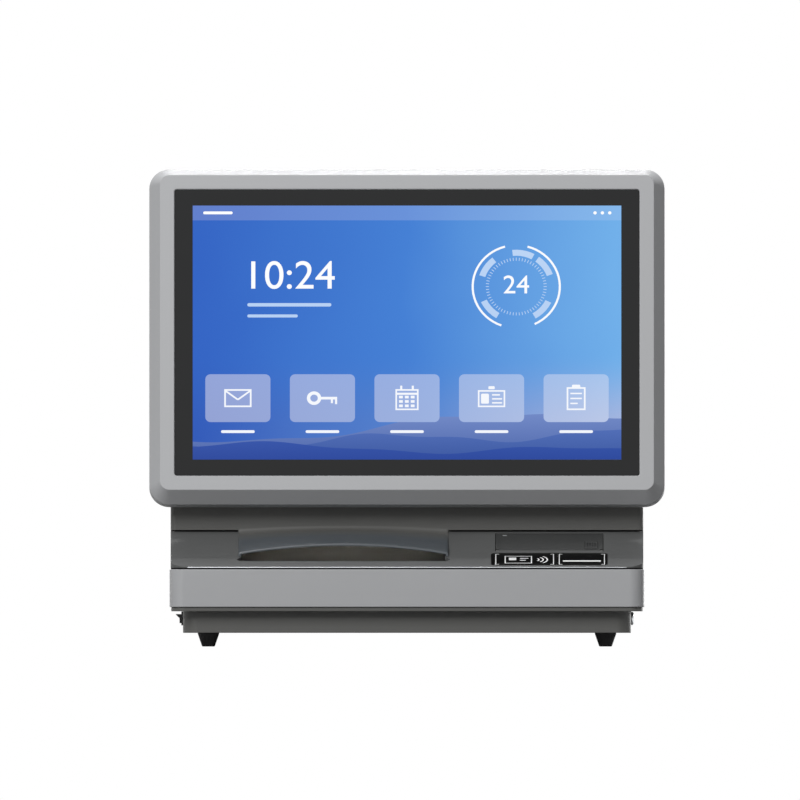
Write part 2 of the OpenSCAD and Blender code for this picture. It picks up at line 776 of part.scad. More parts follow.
// Sloping deck in one moulding with the side and rear walls
module deck_shell() {
    color(slate) difference() {
        union() {
            difference() {
                intersection() {
                    along_x(body_w) deck_outline();
                    translate([0, 0, deck_z - over])
                        linear_extrude(seam_z) rounded_rect(deck_w, deck_d, deck_r);
                }
                intersection() {
                    along_x(body_w) deck_hollow();
                    translate([0, 0, deck_z - 2 * over]) linear_extrude(seam_z)
                        rounded_rect(deck_w - 2 * case_wall, deck_d - 2 * case_wall, deck_r - case_wall);
                }
            }
            translate([0, 0, ledge_z])
                linear_extrude(deck_z + over - ledge_z)
                    rounded_ring(body_w - 2 * rim_step, body_d - 2 * rim_step, corner_r - rim_step, ledge_t);
            translate([0, 0, band_top + screw_gap]) linear_extrude(reveal - screw_gap + over)
                rounded_ring(body_w - case_wall, body_d - case_wall, corner_r - case_wall / 2, case_wall);
            intersection() {
                translate([0, 0, cover_ledge_z - ledge_t]) linear_extrude(ledge_t)
                    rounded_ring(deck_w - case_wall, deck_d - case_wall, deck_r - case_wall / 2,
                                 case_wall / 2 + ledge_w);
                translate([-body_w / 2, rim_front_y, 0]) cube([body_w, body_d, seam_z]);
            }
        }
        translate([0, 0, deck_z]) linear_extrude(seam_z) bay_plan();
        on_upper_slope() translate([-flap_w / 2 - flap_gap, flap_start - flap_gap, -case_wall * 2])
            cube([flap_w + 2 * flap_gap, flap_len + flap_gap + paper_slot, case_wall * 4]);
        on_lower_slope() translate([window_x, window_start + window_len / 2, 0]) {
            translate([0, 0, -window_t]) linear_extrude(window_t + over)
                rounded_rect(window_w + 2 * fit_gap, window_len + 2 * fit_gap, window_r + fit_gap);
            translate([0, 0, -case_wall * 2]) linear_extrude(case_wall * 3)
                square([window_w - 2 * window_ledge, window_len - 2 * window_ledge], center = true);
        }
    }
}

// Top cover's outer form, or its hollow when drawn one wall further in
module cover_form(inset) {
    r = max(neck_edge_r - inset, 0.5);
    y_front = panel_y + inset;
    z_top = top_z - inset;
    z_low = cover_z - (inset > 0 ? 2 * over : 0);
    x_side = deck_w / 2 - inset;
    y_back = deck_back_y - inset;
    back_r = deck_r - inset;
    intersection() {
        along_x(body_w) {
            polygon([
                [y_front, z_low], [y_front, z_top - r], [y_front + r, z_top],
                [roof_back_y - inset * tan(tail_slope / 2), z_top],
                [y_back + over, tail_z - over * tan(tail_slope)
                                + inset * (tan(tail_slope) - 1 / cos(tail_slope))],
                [y_back + over, z_low]
            ]);
            translate([y_front + r, z_top - r]) circle(r);
        }
        along_y(-body_d, body_d) {
            polygon([
                [-x_side, z_low - over], [-x_side, z_top - r], [-x_side + r, z_top],
                [x_side - r, z_top], [x_side, z_top - r], [x_side, z_low - over]
            ]);
            for (sx = [-1, 1]) translate([sx * (x_side - r), z_top - r]) circle(r);
        }
        translate([0, 0, z_low - 2 * over]) linear_extrude(top_z) {
            polygon([
                [-x_side, y_front + r], [-x_side + r, y_front], [x_side - r, y_front],
                [x_side, y_front + r], [x_side, y_back - back_r], [x_side - back_r, y_back],
                [-x_side + back_r, y_back], [-x_side, y_back - back_r]
            ]);
            for (sx = [-1, 1]) {
                translate([sx * (x_side - r), y_front + r]) circle(r);
                translate([sx * (x_side - back_r), y_back - back_r]) circle(back_r);
            }
        }
    }
}

// Hood: an arched shell that leaves the neck in a flare and ends in a rounded lip.
// out is the distance in front of the neck panel, x is measured from the bay's middle.
function rounded_fall(t, r) = t <= 0 ? 0 : r - sqrt(max(r * r - min(t, r) * min(t, r), 0));
function hood_share(out) = max(0, min(out, hood_reach)) / hood_reach;
function hood_crest(out) =
    hood_root_z + (lip_z - hood_root_z) * hood_share(out)
    + rounded_fall(hood_flare - max(out, 0), hood_flare);
function hood_arch(x, out) =
    hood_crest(out)
    - (root_drop + (lip_drop - root_drop) * hood_share(out)) * pow(x / hood_half, 2);
function hood_outside(x, out) =
    hood_arch(x, out) - rounded_fall(abs(x) - hood_half + hood_round, hood_round)
    - rounded_fall(out - hood_reach + hood_round, hood_round) * 0.6;
function hood_inside(x, out) = hood_arch(x, out) - hood_wall;
function hood_foot(out) = deck_top(panel_y - out) + hood_foot_gap;

hood_cells = 36;
hood_outs = concat(
    [-hood_sink], [for (a = [0 : 15 : 90]) hood_flare * (1 - cos(a))],
    [for (i = [1 : 4]) hood_reach * i / 5],
    [for (a = [0 : 22.5 : 90]) hood_reach - hood_round * (1 - sin(a))]
);
// Sideways stations, closer together at the rounded edges
hood_stations = [for (i = [0 : hood_cells]) hood_half * sin(180 * i / hood_cells - 90)];
hood_ring = concat(
    [[-1, 0]], [for (i = [0 : hood_cells]) [i, 0]], [[hood_cells + 1, 0]],
    [[hood_cells + 1, 1]], [for (i = [hood_cells : -1 : 0]) [i, 1]], [[-1, 1]]
);

// One point of the hood's ring of skin at a distance in front of the neck
function hood_point(spot, out) =
    let (inner = spot[1] == 1,
         half = inner ? hood_half - hood_wall : hood_half,
         side = spot[0] < 0 || spot[0] > hood_cells,
         station = hood_stations[max(0, min(hood_cells, spot[0]))],
         x = station * half / hood_half,
         foot = hood_foot(out),
         top = inner ? hood_inside(x, out) : hood_outside(x, out))
    [bay_x + x, panel_y - out, side ? foot : max(foot + 0.01, top)];

module hood() {
    ring_n = len(hood_ring);
    out_n = len(hood_outs);
    half_n = ring_n / 2;
    points = [for (out = hood_outs, spot = hood_ring) hood_point(spot, out)];
    skin = [
        for (j = [0 : out_n - 2], i = [0 : ring_n - 1])
            let (a = j * ring_n + i, b = j * ring_n + (i + 1) % ring_n)
                each [[a, b, b + ring_n], [a, b + ring_n, a + ring_n]]
    ];
    back_cap = [
        for (i = [0 : half_n - 2])
            let (a = i, b = i + 1, c = ring_n - 2 - i, d = ring_n - 1 - i)
                each [[a, c, b], [a, d, c]]
    ];
    last = (out_n - 1) * ring_n;
    front_cap = [for (f = back_cap) [last + f[0], last + f[2], last + f[1]]];
    polyhedron(points, concat(skin, back_cap, front_cap));
}

// Neck panel, roof and vented sloping back in one moulding with the scan hood
module top_cover() {
    color(charcoal) difference() {
        union() {
            difference() {
                cover_form(0);
                cover_form(case_wall);
            }
            intersection() {
                union() {
                    translate([0, 0, cover_ledge_z]) linear_extrude(cover_z + over - cover_ledge_z)
                        rounded_ring(deck_w - 2 * rim_step, deck_d - 2 * rim_step, deck_r - rim_step,
                                     ledge_t);
                    translate([0, 0, seam_z + screw_gap]) linear_extrude(reveal - screw_gap + ledge_t)
                        rounded_ring(deck_w - case_wall, deck_d - case_wall, deck_r - case_wall / 2,
                                     case_wall / 2 + fit_gap + ledge_t);
                }
                translate([-body_w / 2, rim_front_y + fit_gap, 0]) cube([body_w, body_d, top_z]);
            }
            hood();
        }
        at_spots(stand_spots, top_z - 2 * case_wall)
            cylinder(d = stand_screw_d + 2 * screw_gap, h = 3 * case_wall);
        translate([0, gland_y, top_z - 2 * case_wall])
            cylinder(d = gland_d + 2 * fit_gap, h = 3 * case_wall);
        translate([0, (roof_back_y + deck_back_y) / 2, (top_z + tail_z) / 2])
            rotate([-tail_slope, 0, 0]) translate([0, -tail_vent_l / 2, -2 * case_wall])
                vent_row(tail_vent_n, tail_vent_l, 4 * case_wall);
    }
}

// Floor of the scan bay, with a rebate for the glass
module scan_bed() {
    color(black) difference() {
        translate([bay_x - bed_half, bed_front_y, bed_z - bed_t])
            cube([2 * bed_half, bed_back_y - bed_front_y, bed_t]);
        translate([bay_x, glass_mid_y, bed_z - scan_glass_t]) linear_extrude(bed_t)
            square([scan_glass_w + 2 * fit_gap, scan_glass_d + 2 * fit_gap], center = true);
        translate([bay_x, glass_mid_y, bed_z - bed_t - over]) linear_extrude(bed_t + 2 * over)
            square([scan_glass_w - 2 * glass_rebate, scan_glass_d - 2 * glass_rebate], center = true);
    }
}

module scan_glass() {
    color("#7fa6a3") translate([bay_x, glass_mid_y, bed_z - scan_glass_t])
        linear_extrude(scan_glass_t) square([scan_glass_w, scan_glass_d], center = true);
}

// Dark liner that closes the bay behind the neck: roof, back and two sides, open to the front
module bay_liner() {
    liner_half = bay_half + liner_wall;
    liner_d = bed_back_y - liner_front_y;
    color(black) difference() {
        translate([bay_x - liner_half, liner_front_y, bed_z]) cube([2 * liner_half, liner_d, liner_h]);
        translate([bay_x - bay_half, liner_front_y - over, bed_z - over])
            cube([2 * bay_half, liner_d + over - liner_wall, liner_h + over - liner_wall]);
    }
}

// Light box under the bed, open at the top
module light_box() {
    color(black) difference() {
        translate([bay_x - box_half, box_front_y, floor_z])
            cube([2 * box_half, box_back_y - box_front_y, box_h]);
        translate([bay_x - box_half + liner_wall, box_front_y + liner_wall, floor_z + liner_wall])
            cube([2 * (box_half - liner_wall), box_back_y - box_front_y - 2 * liner_wall, box_h]);
    }
}

// Camera board with its lens barrel, looking up at the glass
module scan_camera() {
    sensor_w = lens_d * 1.4;
    sensor_h = 6;
    lens_l = 10;
    lens_rim = 1.5;
    color(circuit) translate([bay_x, glass_mid_y, floor_z + liner_wall]) {
        translate([-camera_board / 2, -camera_board / 2, 0]) cube([camera_board, camera_board, board_t]);
        translate([-sensor_w / 2, -sensor_w / 2, board_t]) cube([sensor_w, sensor_w, sensor_h]);
        translate([0, 0, board_t + sensor_h]) rotate_extrude() polygon([
            [0, 0], [lens_d / 2, 0], [lens_d / 2, lens_l], [lens_d / 2 - lens_rim, lens_l],
            [lens_d / 2 - 2 * lens_rim, lens_l - lens_rim], [0, lens_l - lens_rim]
        ]);
    }
}

// Two lamp bars along the light box's long walls
module scan_lamps() {
    lamp_d = 4;
    lamp_h = 8;
    lamp_drop = 14;
    color(lamp_white) for (y = [box_front_y + liner_wall, box_back_y - liner_wall - lamp_d])
        translate([bay_x - lamp_l / 2, y, floor_z + box_h - lamp_drop]) cube([lamp_l, lamp_d, lamp_h]);
}

// Paper bin with flanges under the deck, bearing lugs for the flap and bores for the spindle
module printer_frame() {
    lug_x = flap_w / 2 - fit_gap - lug_w / 2;
    lug_h = 8;
    rim_n = -case_wall - bearing_gap;
    outer_half = bin_half + bin_wall;
    outer_s = bin_low - bin_wall;
    outer_l = bin_high - bin_low + 2 * bin_wall;
    color(charcoal) on_upper_slope() difference() {
        union() {
            difference() {
                union() {
                    translate([-outer_half, outer_s, rim_n - bin_depth])
                        cube([2 * outer_half, outer_l, bin_depth]);
                    translate([-outer_half - bin_flange, outer_s, rim_n - bin_wall])
                        cube([2 * (outer_half + bin_flange), outer_l, bin_wall]);
                }
                translate([-bin_half, bin_low, rim_n - bin_depth + bin_wall])
                    cube([2 * bin_half, bin_high - bin_low, bin_depth]);
            }
            for (sx = [-1, 1]) translate([sx * lug_x - lug_w / 2, 0, 0]) {
                translate([0, pivot_s - flap_t / 2, rim_n - lug_h])
                    cube([lug_w, flap_t, lug_h - rim_n + pivot_n]);
                translate([0, bin_low - over, rim_n - lug_h]) cube([lug_w, flap_t, lug_h - over]);
                translate([0, pivot_s, pivot_n]) x_rod(flap_t, 0, lug_w);
            }
        }
        translate([0, pivot_s, pivot_n]) x_rod(flap_pin_d + 2 * bearing_gap, -flap_w, flap_w);
        translate([0, roll_s, roll_n]) x_rod(spindle_d + 2 * screw_gap, -flap_w, flap_w);
    }
}

// Flap with a hinge barrel along its lower edge and two arms for the platen
module printer_flap() {
    color("#383838") on_upper_slope() difference() {
        union() {
            translate([-flap_w / 2, pivot_s, -flap_t]) cube([flap_w, flap_end - pivot_s, flap_t]);
            translate([0, pivot_s, pivot_n]) x_rod(flap_t, -flap_w / 2, flap_w / 2);
            for (sx = [-1, 1]) translate([sx * (platen_l / 2 + arm_gap + arm_t / 2), 0, 0]) {
                translate([-arm_t / 2, platen_s - arm_r, platen_n])
                    cube([arm_t, 2 * arm_r - 1, -platen_n - flap_t / 2]);
                translate([0, platen_s, platen_n]) x_rod(2 * arm_r - 2, -arm_t / 2, arm_t / 2);
            }
        }
        for (sx = [0, 1]) mirror([sx, 0, 0])
            translate([flap_w / 2 - flap_notch, flap_start - over, -flap_t - over])
                cube([flap_notch + over, flap_notch_l + over, flap_t + 2 * over]);
        translate([0, pivot_s, pivot_n]) x_rod(flap_pin_d + 2 * bearing_gap, -flap_w, flap_w);
        translate([0, platen_s, platen_n]) x_rod(platen_shaft_d + 2 * bearing_gap, -flap_w, flap_w);
        translate([button_x - button_w / 2 - fit_gap,
                   flap_start + button_s - button_l / 2 - fit_gap, -flap_t - over])
            cube([button_w + 2 * fit_gap, button_l + 2 * fit_gap, flap_t + 2 * over]);
        translate([led_x - led_w / 2 - screw_gap, led_s - led_l / 2 - screw_gap, -led_t])
            cube([led_w + 2 * screw_gap, led_l + 2 * screw_gap, led_t + over]);
    }
}

module flap_pin() {
    color(steel) on_upper_slope() translate([0, pivot_s, pivot_n])
        x_rod(flap_pin_d, -flap_w / 2 + fit_gap, flap_w / 2 - fit_gap);
}

// Push button in the flap, kept in by a flange under it
module open_button() {
    groove_pitch = 2.4;
    groove_w = 1;
    flange_w = button_w + 2 * button_flange;
    flange_l = button_l + 2 * button_flange;
    low = -flap_t - button_flange_t;
    color("#2c2c2c") on_upper_slope()
        translate([button_x, flap_start + button_s, 0]) difference() {
            union() {
                translate([-button_w / 2, -button_l / 2, low])
                    cube([button_w, button_l, button_proud - low]);
                translate([-flange_w / 2, -flange_l / 2, low]) cube([flange_w, flange_l, button_flange_t]);
            }
            for (i = [0 : groove_n - 1])
                translate([(i - (groove_n - 1) / 2) * groove_pitch - groove_w / 2, -button_l / 4,
                           button_proud - groove_w / 2])
                    cube([groove_w, button_l / 2, over]);
        }
}

module printer_led() {
    color(lamp_white) on_upper_slope() translate([led_x - led_w / 2, led_s - led_l / 2, -led_t])
        cube([led_w, led_l, led_t + bearing_gap]);
}

module platen_roller() {
    color(black) on_upper_slope() translate([0, platen_s, platen_n]) difference() {
        x_rod(platen_d, -platen_l / 2, platen_l / 2);
        x_rod(platen_shaft_d, -platen_l, platen_l);
    }
}

module platen_shaft() {
    color(steel) on_upper_slope() translate([0, platen_s, platen_n])
        x_rod(platen_shaft_d, -platen_l / 2 - arm_gap - arm_t, platen_l / 2 + arm_gap + arm_t);
}

// Thermal print head on the bin's upper wall, with a cooling fin behind its heater line
module print_head() {
    head_half = platen_l / 2 + 4;
    head_h = 13;
    heater_t = 1;
    heater_h = 6;
    color(steel) on_upper_slope() {
        translate([-head_half, head_s + heater_t, platen_n - head_h + heater_h - heater_t])
            cube([2 * head_half, head_t - heater_t, head_h]);
        translate([-platen_l / 2, head_s, platen_n - heater_h / 2]) cube([platen_l, heater_t, heater_h]);
    }
}

module paper_roll() {
    color(paper_white) on_upper_slope() translate([0, roll_s, roll_n]) difference() {
        x_rod(roll_d, -roll_w / 2, roll_w / 2);
        x_rod(core_d, -roll_w, roll_w);
    }
}

// Spindle with a hub in the roll's core and two ends in the bin's walls
module roll_spindle() {
    color(charcoal) on_upper_slope() translate([0, roll_s, roll_n]) {
        x_rod(core_d, -roll_w / 2, roll_w / 2);
        x_rod(spindle_d, -bin_half - bin_wall + fit_gap, bin_half + bin_wall - fit_gap);
    }
}

// Black window that lies flush in the lower slope
module card_window() {
    color(black) on_lower_slope() translate([window_x, window_start + window_len / 2, -window_t])
        linear_extrude(window_t) rounded_rect(window_w, window_len, window_r);
}

// Antenna board under one end of the card window, side 0 on the left and 1 on the right
module antenna(w, side) {
    inset = window_ledge + fit_gap;
    reach = window_w / 2 - inset;
    on_lower_slope()
        translate([window_x + (side == 0 ? -reach : reach - w), window_start + inset, -window_t - board_t])
            cube([w, window_len - 2 * inset, board_t]);
}

module id_antenna() {
    color(circuit) antenna(id_antenna_w, 0);
}

module ic_antenna() {
    color(circuit) antenna(ic_antenna_w, 1);
}

// Main board with a row of memory sockets beside the heat sink
module main_board() {
    memory_w = 16;
    memory_l = 60;
    memory_h = 6;
    color(circuit) {
        translate([main_board_x - main_board_w / 2, main_board_front, board_z])
            cube([main_board_w, main_board_d, board_t]);
        translate([main_board_x + main_board_w / 2 - 2 * memory_w, main_board_front + 2 * post_in, board_top])
            cube([memory_w, memory_l, memory_h]);
    }
}

module board_posts() {
    color(steel) at_spots(post_spots, floor_z) cylinder(d = post_d, h = board_z - floor_z);
}

// Finned heat sink on the main board
module heat_sink() {
    fin_t = 2;
    base_t = 5;
    pitch = (sink_size - fin_t) / (fin_n - 1);
    sink_x = main_board_x - main_board_w / 2 + 2 * post_in;
    color(steel) translate([sink_x, main_board_front + 2 * post_in, board_top]) {
        cube([sink_size, sink_size, base_t]);
        for (i = [0 : fin_n - 1])
            translate([i * pitch, 0, base_t - over]) cube([fin_t, sink_size, sink_h - base_t + over]);
    }
}

// Steel plate inside the rear wall, cut out round each socket
module io_plate() {
    color(steel) difference() {
        translate([main_board_x - io_w / 2, wall_in_y - io_t, io_z - io_h / 2]) cube([io_w, io_t, io_h]);
        for (i = [0 : usb_n - 1]) port_cut(usb_x + i * usb_pitch, usb_w, usb_h);
        port_cut(lan_x, lan_w, lan_h);
    }
}

module port_cut(x, w, h) {
    translate([x - w / 2 - fit_gap, wall_in_y - io_t - over, board_top - fit_gap])
        cube([w + 2 * fit_gap, io_t + 2 * over, h + 2 * fit_gap]);
}

// Bus sockets: steel shells with a tongue
module usb_sockets() {
    shell_t = 0.6;
    back_t = 4;
    tongue_in = 2;
    tongue_t = 1.6;
    color(steel) for (i = [0 : usb_n - 1])
        translate([usb_x + i * usb_pitch - usb_w / 2, port_face_y - port_l, board_top]) {
            difference() {
                cube([usb_w, port_l, usb_h]);
                translate([shell_t, back_t, shell_t])
                    cube([usb_w - 2 * shell_t, port_l, usb_h - 2 * shell_t]);
            }
            translate([tongue_in, back_t - over, usb_h / 2])
                cube([usb_w - 2 * tongue_in, port_l - back_t - tongue_in + over, tongue_t]);
        }
}

// Network socket with the notch for a plug's latch
module lan_socket() {
    lan_wall = 2;
    back_t = 5;
    latch_w = 6;
    latch_t = 1.8;
    color(charcoal) translate([lan_x - lan_w / 2, port_face_y - port_l, board_top]) difference() {
        cube([lan_w, port_l, lan_h]);
        translate([lan_wall, back_t, lan_wall + over])
            cube([lan_w - 2 * lan_wall, port_l, lan_h - 2 * lan_wall - over]);
        translate([lan_w / 2 - latch_w / 2, back_t, lan_wall + over - latch_t])
            cube([latch_w, port_l, latch_t + over]);
    }
}

// Power supply: a folded steel box with slots in its lid
module power_supply() {
    sheet = 1.2;
    slot_n = 9;
    slot_in = 20;
    color(steel) translate([psu_x, psu_y, floor_z]) difference() {
        cube([psu_w, psu_d, psu_h]);
        translate([sheet, sheet, sheet]) cube([psu_w - 2 * sheet, psu_d - 2 * sheet, psu_h - 2 * sheet]);
        translate([psu_w / 2, slot_in, psu_h - 2 * sheet]) vent_row(slot_n, psu_d - 2 * slot_in, 3 * sheet);
    }
}

// Mains inlet with a chamfered socket and three blades, held by a flange behind the wall
module mains_inlet() {
    face_y = port_face_y;
    rim = 2;
    cut = 4;
    flange_t = 2;
    socket_w = inlet_w - 2 * rim;
    socket_h = inlet_h - 2 * rim;
    depth = 17;
    blade_w = 2;
    blade_h = 4;
    blade_l = depth - 3;
    // The middle blade stands higher than the outer two
    blades = [[0, 2.6], [-7, -1.6], [7, -1.6]];
    color(black) translate([inlet_x, 0, inlet_z]) {
        difference() {
            union() {
                translate([-inlet_w / 2, face_y - inlet_l, -inlet_h / 2])
                    cube([inlet_w, inlet_l, inlet_h]);
                translate([-inlet_w / 2 - inlet_flange, wall_in_y - flange_t, -inlet_h / 2 - inlet_flange_h])
                    cube([inlet_w + 2 * inlet_flange, flange_t, inlet_h + 2 * inlet_flange_h]);
            }
            along_y(face_y - depth, face_y + over) polygon([
                [-socket_w / 2, -socket_h / 2], [socket_w / 2, -socket_h / 2],
                [socket_w / 2, socket_h / 2 - cut], [socket_w / 2 - cut, socket_h / 2],
                [-socket_w / 2 + cut, socket_h / 2], [-socket_w / 2, socket_h / 2 - cut]
            ]);
        }
        for (p = blades)
            translate([p[0] - blade_w / 2, face_y - depth - over, p[1] - blade_h / 2])
                cube([blade_w, blade_l + over, blade_h]);
    }
}

// Frame of the tray's left side switch: x points out of the wall
module on_left_wall() {
    translate([-tray_w / 2, -switch_y, switch_z]) mirror([1, 0, 0]) children();
}

module on_right_wall() {
    translate([tray_w / 2, -switch_y, switch_z]) rotate([0, 90, 0]) children();
}

rocker_sleeve_w = rocker_window_w + 2 * rocker_sleeve_wall;
rocker_sleeve_h = rocker_window_h + 2 * rocker_sleeve_wall;

module rocker_hole() {
    hole_w = rocker_sleeve_w + 2 * screw_gap;
    hole_h = rocker_sleeve_h + 2 * screw_gap;
    on_left_wall() translate([-tray_wall - over, -hole_w / 2, -hole_h / 2])
        cube([tray_wall + 2 * over, hole_w, hole_h]);
}

// Switch housing with a rim outside the wall and bearings for the paddle
module rocker_frame() {
    color(black) on_left_wall() difference() {
        union() {
            translate([0, -rocker_frame_w / 2, -rocker_frame_h / 2])
                cube([rocker_frame_t, rocker_frame_w, rocker_frame_h]);
            translate([-rocker_body_l, -rocker_sleeve_w / 2, -rocker_sleeve_h / 2])
                cube([rocker_body_l + over, rocker_sleeve_w, rocker_sleeve_h]);
        }
        translate([-rocker_body_l + 2, -rocker_window_w / 2, -rocker_window_h / 2])
            cube([rocker_body_l + rocker_frame_t, rocker_window_w, rocker_window_h]);
        translate([rocker_pivot, 0, 0]) rotate([90, 0, 0])
            cylinder(d = rocker_pin_d + 2 * bearing_gap, h = rocker_sleeve_w, center = true);
    }
}

// Paddle with its upper half out and its lower half pressed in, on a cross pin
module rocker_paddle() {
    half = rocker_window_h / 2 - 0.7;
    paddle_w = rocker_window_w - 2 * fit_gap;
    color("#171717") on_left_wall() {
        translate([0, paddle_w / 2, 0]) rotate([90, 0, 0]) linear_extrude(paddle_w) polygon([
            [-3, -half + 0.8], [3.2, -half], [3.4, 0.4], [7.2, half - 0.4], [2.5, half - 0.4], [-3, half - 1]
        ]);
        translate([rocker_pivot, 0, 0]) rotate([90, 0, 0])
            cylinder(d = rocker_pin_d, h = rocker_window_w + 1.4 * rocker_sleeve_wall, center = true);
    }
}

module start_hole() {
    on_right_wall() translate([0, 0, -tray_wall - over])
        cylinder(d = start_barrel_d + 2 * screw_gap, h = tray_wall + 2 * over);
}

// Metal bezel with a rounded edge and a barrel through the wall
module start_bezel() {
    bore = start_cap_d / 2 + screw_gap;
    color(steel) on_right_wall() rotate_extrude() polygon([
        [bore, -start_barrel_l], [start_barrel_d / 2, -start_barrel_l], [start_barrel_d / 2, 0],
        [start_d / 2, 0], [start_d / 2, start_proud - start_cut],
        [start_d / 2 - start_cut, start_proud], [bore, start_proud]
    ]);
}

// Cap that slides in the barrel, kept in by a collar behind it
module start_cap() {
    color(silver) on_right_wall() rotate_extrude() polygon([
        [0, -start_barrel_l - start_collar_t], [start_barrel_d / 2, -start_barrel_l - start_collar_t],
        [start_barrel_d / 2, -start_barrel_l], [start_cap_d / 2, -start_barrel_l],
        [start_cap_d / 2, start_proud - start_cut],
        [start_cap_d / 2 - start_cut / 2, start_proud - start_cut / 2], [0, start_proud - start_cut / 2]
    ]);
}

module start_nut() {
    color(steel) on_right_wall() translate([0, 0, -tray_wall - start_nut_t]) difference() {
        cylinder(d = start_barrel_d + 6, h = start_nut_t, $fn = 6);
        translate([0, 0, -over]) cylinder(d = start_barrel_d, h = start_nut_t + 2 * over);
    }
}

// Outline centred on the display's face, drawn out from depth d0 to depth d1
module on_face(d0, d1) {
    translate([0, 0, face_mid]) along_y(d0, d1) children();
}

// Places behind the face at depth d, with z pointing to the back
module behind_face(spots, d) {
    for (p = spots) translate([p[0], d, p[1]]) rotate([-90, 0, 0]) children();
}

// Bevelled front frame with a fine chamfer and a ledge for the glass
module front_bezel() {
    color(silver) in_display() difference() {
        union() {
            translate([0, 0, face_mid]) flared_block(face_w, face_h, face_r, bevel_w, bevel_d);
            on_face(bevel_d, rim_end) rounded_rect(outer_w, outer_h, outer_r);
        }
        on_face(-over, glass_back)
            rounded_rect(glass_w + 2 * fit_gap, glass_h + 2 * fit_gap, glass_r + fit_gap);
        translate([0, window_cut, face_mid]) mirror([0, 1, 0])
            flared_block(glass_w + 2 * fit_gap, glass_h + 2 * fit_gap, glass_r + fit_gap,
                         2 * window_cut, 2 * window_cut);
        on_face(0, rim_end) square([lcd_w + 2 * fit_gap, lcd_h + 2 * fit_gap], center = true);
        on_face(glass_back + ledge_t, rim_end)
            rounded_rect(face_w - 2 * bezel_step, face_h - 2 * bezel_step, face_r - bezel_step);
        on_face(bevel_d, rim_end + over)
            rounded_rect(outer_w - 2 * shell_wall, outer_h - 2 * shell_wall, outer_r - shell_wall);
    }
}

module touch_glass() {
    color(black) in_display() on_face(glass_recess, glass_back) rounded_rect(glass_w, glass_h, glass_r);
}

module lcd_panel() {
    color("#2b2d30") in_display() on_face(glass_back, bevel_d) square([lcd_w, lcd_h], center = true);
}

// Steel plate that closes the bezel behind the panel, with posts for the rear shell
module panel_chassis() {
    color(steel) in_display() difference() {
        union() {
            on_face(bevel_d, chassis_back)
                rounded_rect(outer_w - 2 * (shell_wall + fit_gap), outer_h - 2 * (shell_wall + fit_gap),
                             outer_r - shell_wall - fit_gap);
            behind_face(shell_spots, bevel_d)
                cylinder(d = chassis_post_d, h = rear_end - shell_wall - bevel_d);
        }
        behind_face(shell_spots, bevel_d - over) cylinder(d = shell_screw_d + 2 * screw_gap, h = rear_end);
    }
}

// Driver board on four spacers behind the chassis
module display_board() {
    board_w = 150;
    board_h = 90;
    spacer_h = 6;
    spacer_d = 6;
    color(circuit) in_display() translate([0, chassis_back, face_mid]) {
        translate([-board_w / 2, spacer_h, -board_h / 2]) cube([board_w, board_t, board_h]);
        for (sx = [-1, 1], sv = [-1, 1])
            translate([sx * (board_w / 2 - spacer_d), 0, sv * (board_h / 2 - spacer_d)])
                rotate([-90, 0, 0]) cylinder(d = spacer_d, h = spacer_h + board_t / 2);
    }
}

// Outer form of the rear shell, or its hollow when drawn one wall further in
module rear_form(inset) {
    front_inset = shell_inset + inset;
    slab = 0.5;
    hull() {
        on_face(rim_end - (inset > 0 ? over : 0), rim_end + slab)
            rounded_rect(outer_w - 2 * front_inset, outer_h - 2 * front_inset, outer_r - front_inset,
                         $fn = HULL_FN);
        on_face(rear_end - inset - slab, rear_end - inset)
            rounded_rect(outer_w - 2 * (rear_taper_x + inset), outer_h - 2 * (rear_taper_v + inset),
                         outer_r - front_inset, $fn = HULL_FN);
    }
}

// Tapered rear shell with vent slots in its flat back
module rear_shell() {
    vent_low = face_mid + shell_v - rear_vent_l;
    color(charcoal) in_display() difference() {
        rear_form(0);
        rear_form(shell_wall);
        translate([0, rear_end + shell_wall, vent_low]) rotate([90, 0, 0])
            vent_row(rear_vent_n, rear_vent_l, 3 * shell_wall);
        behind_face(shell_spots, rear_end - 2 * shell_wall)
            cylinder(d = shell_screw_d + 2 * screw_gap, h = 3 * shell_wall);
        behind_face(bracket_spots, rear_end - 2 * shell_wall)
            cylinder(d = stand_screw_d + 2 * screw_gap, h = 3 * shell_wall);
    }
}

module shell_screws() {
    color(steel) in_display() behind_face(shell_spots, rear_end) mirror([0, 0, 1])
        screw(shell_screw_d, rear_depth * 0.6);
}

// Steel bracket on the display's back with two hinge ears
module tilt_bracket() {
    color(charcoal) in_display() difference() {
        union() {
            translate([-bracket_w / 2, rear_end, bracket_low]) cube([bracket_w, bracket_t, bracket_h]);
            for (sx = [-1, 1]) translate([sx * ear_x, 0, hinge_v]) {
                translate([-ear_t / 2, rear_end, -ear_r]) cube([ear_t, hinge_off, 2 * ear_r]);
                translate([0, hinge_d, 0]) x_rod(2 * ear_r, -ear_t / 2, ear_t / 2);
            }
        }
        translate([0, hinge_d, hinge_v]) x_rod(axle_d + 2 * bearing_gap, -bracket_w, bracket_w);
        behind_face(bracket_spots, rear_end - over)
            cylinder(d = stand_screw_d + 2 * screw_gap, h = bracket_t + 2 * over);
    }
}

module bracket_screws() {
    color(steel) in_display() behind_face(bracket_spots, rear_end + bracket_t) mirror([0, 0, 1])
        screw(stand_screw_d, bracket_t + shell_wall + screw_tail);
}

module at_hinge() {
    translate([0, hinge_y, hinge_z]) children();
}

module hinge_axle() {
    color(steel) at_hinge() x_rod(axle_d, -axle_end_x - nut_t - 1, axle_end_x + nut_t + 1);
}

module axle_nuts() {
    color(steel) at_hinge() for (side = [0, 1]) mirror([side, 0, 0]) difference() {
        translate([axle_end_x, 0, 0]) rotate([0, 90, 0]) cylinder(d = axle_d * 1.85, h = nut_t, $fn = 6);
        x_rod(axle_d, 0, axle_end_x + 2 * nut_t);
    }
}

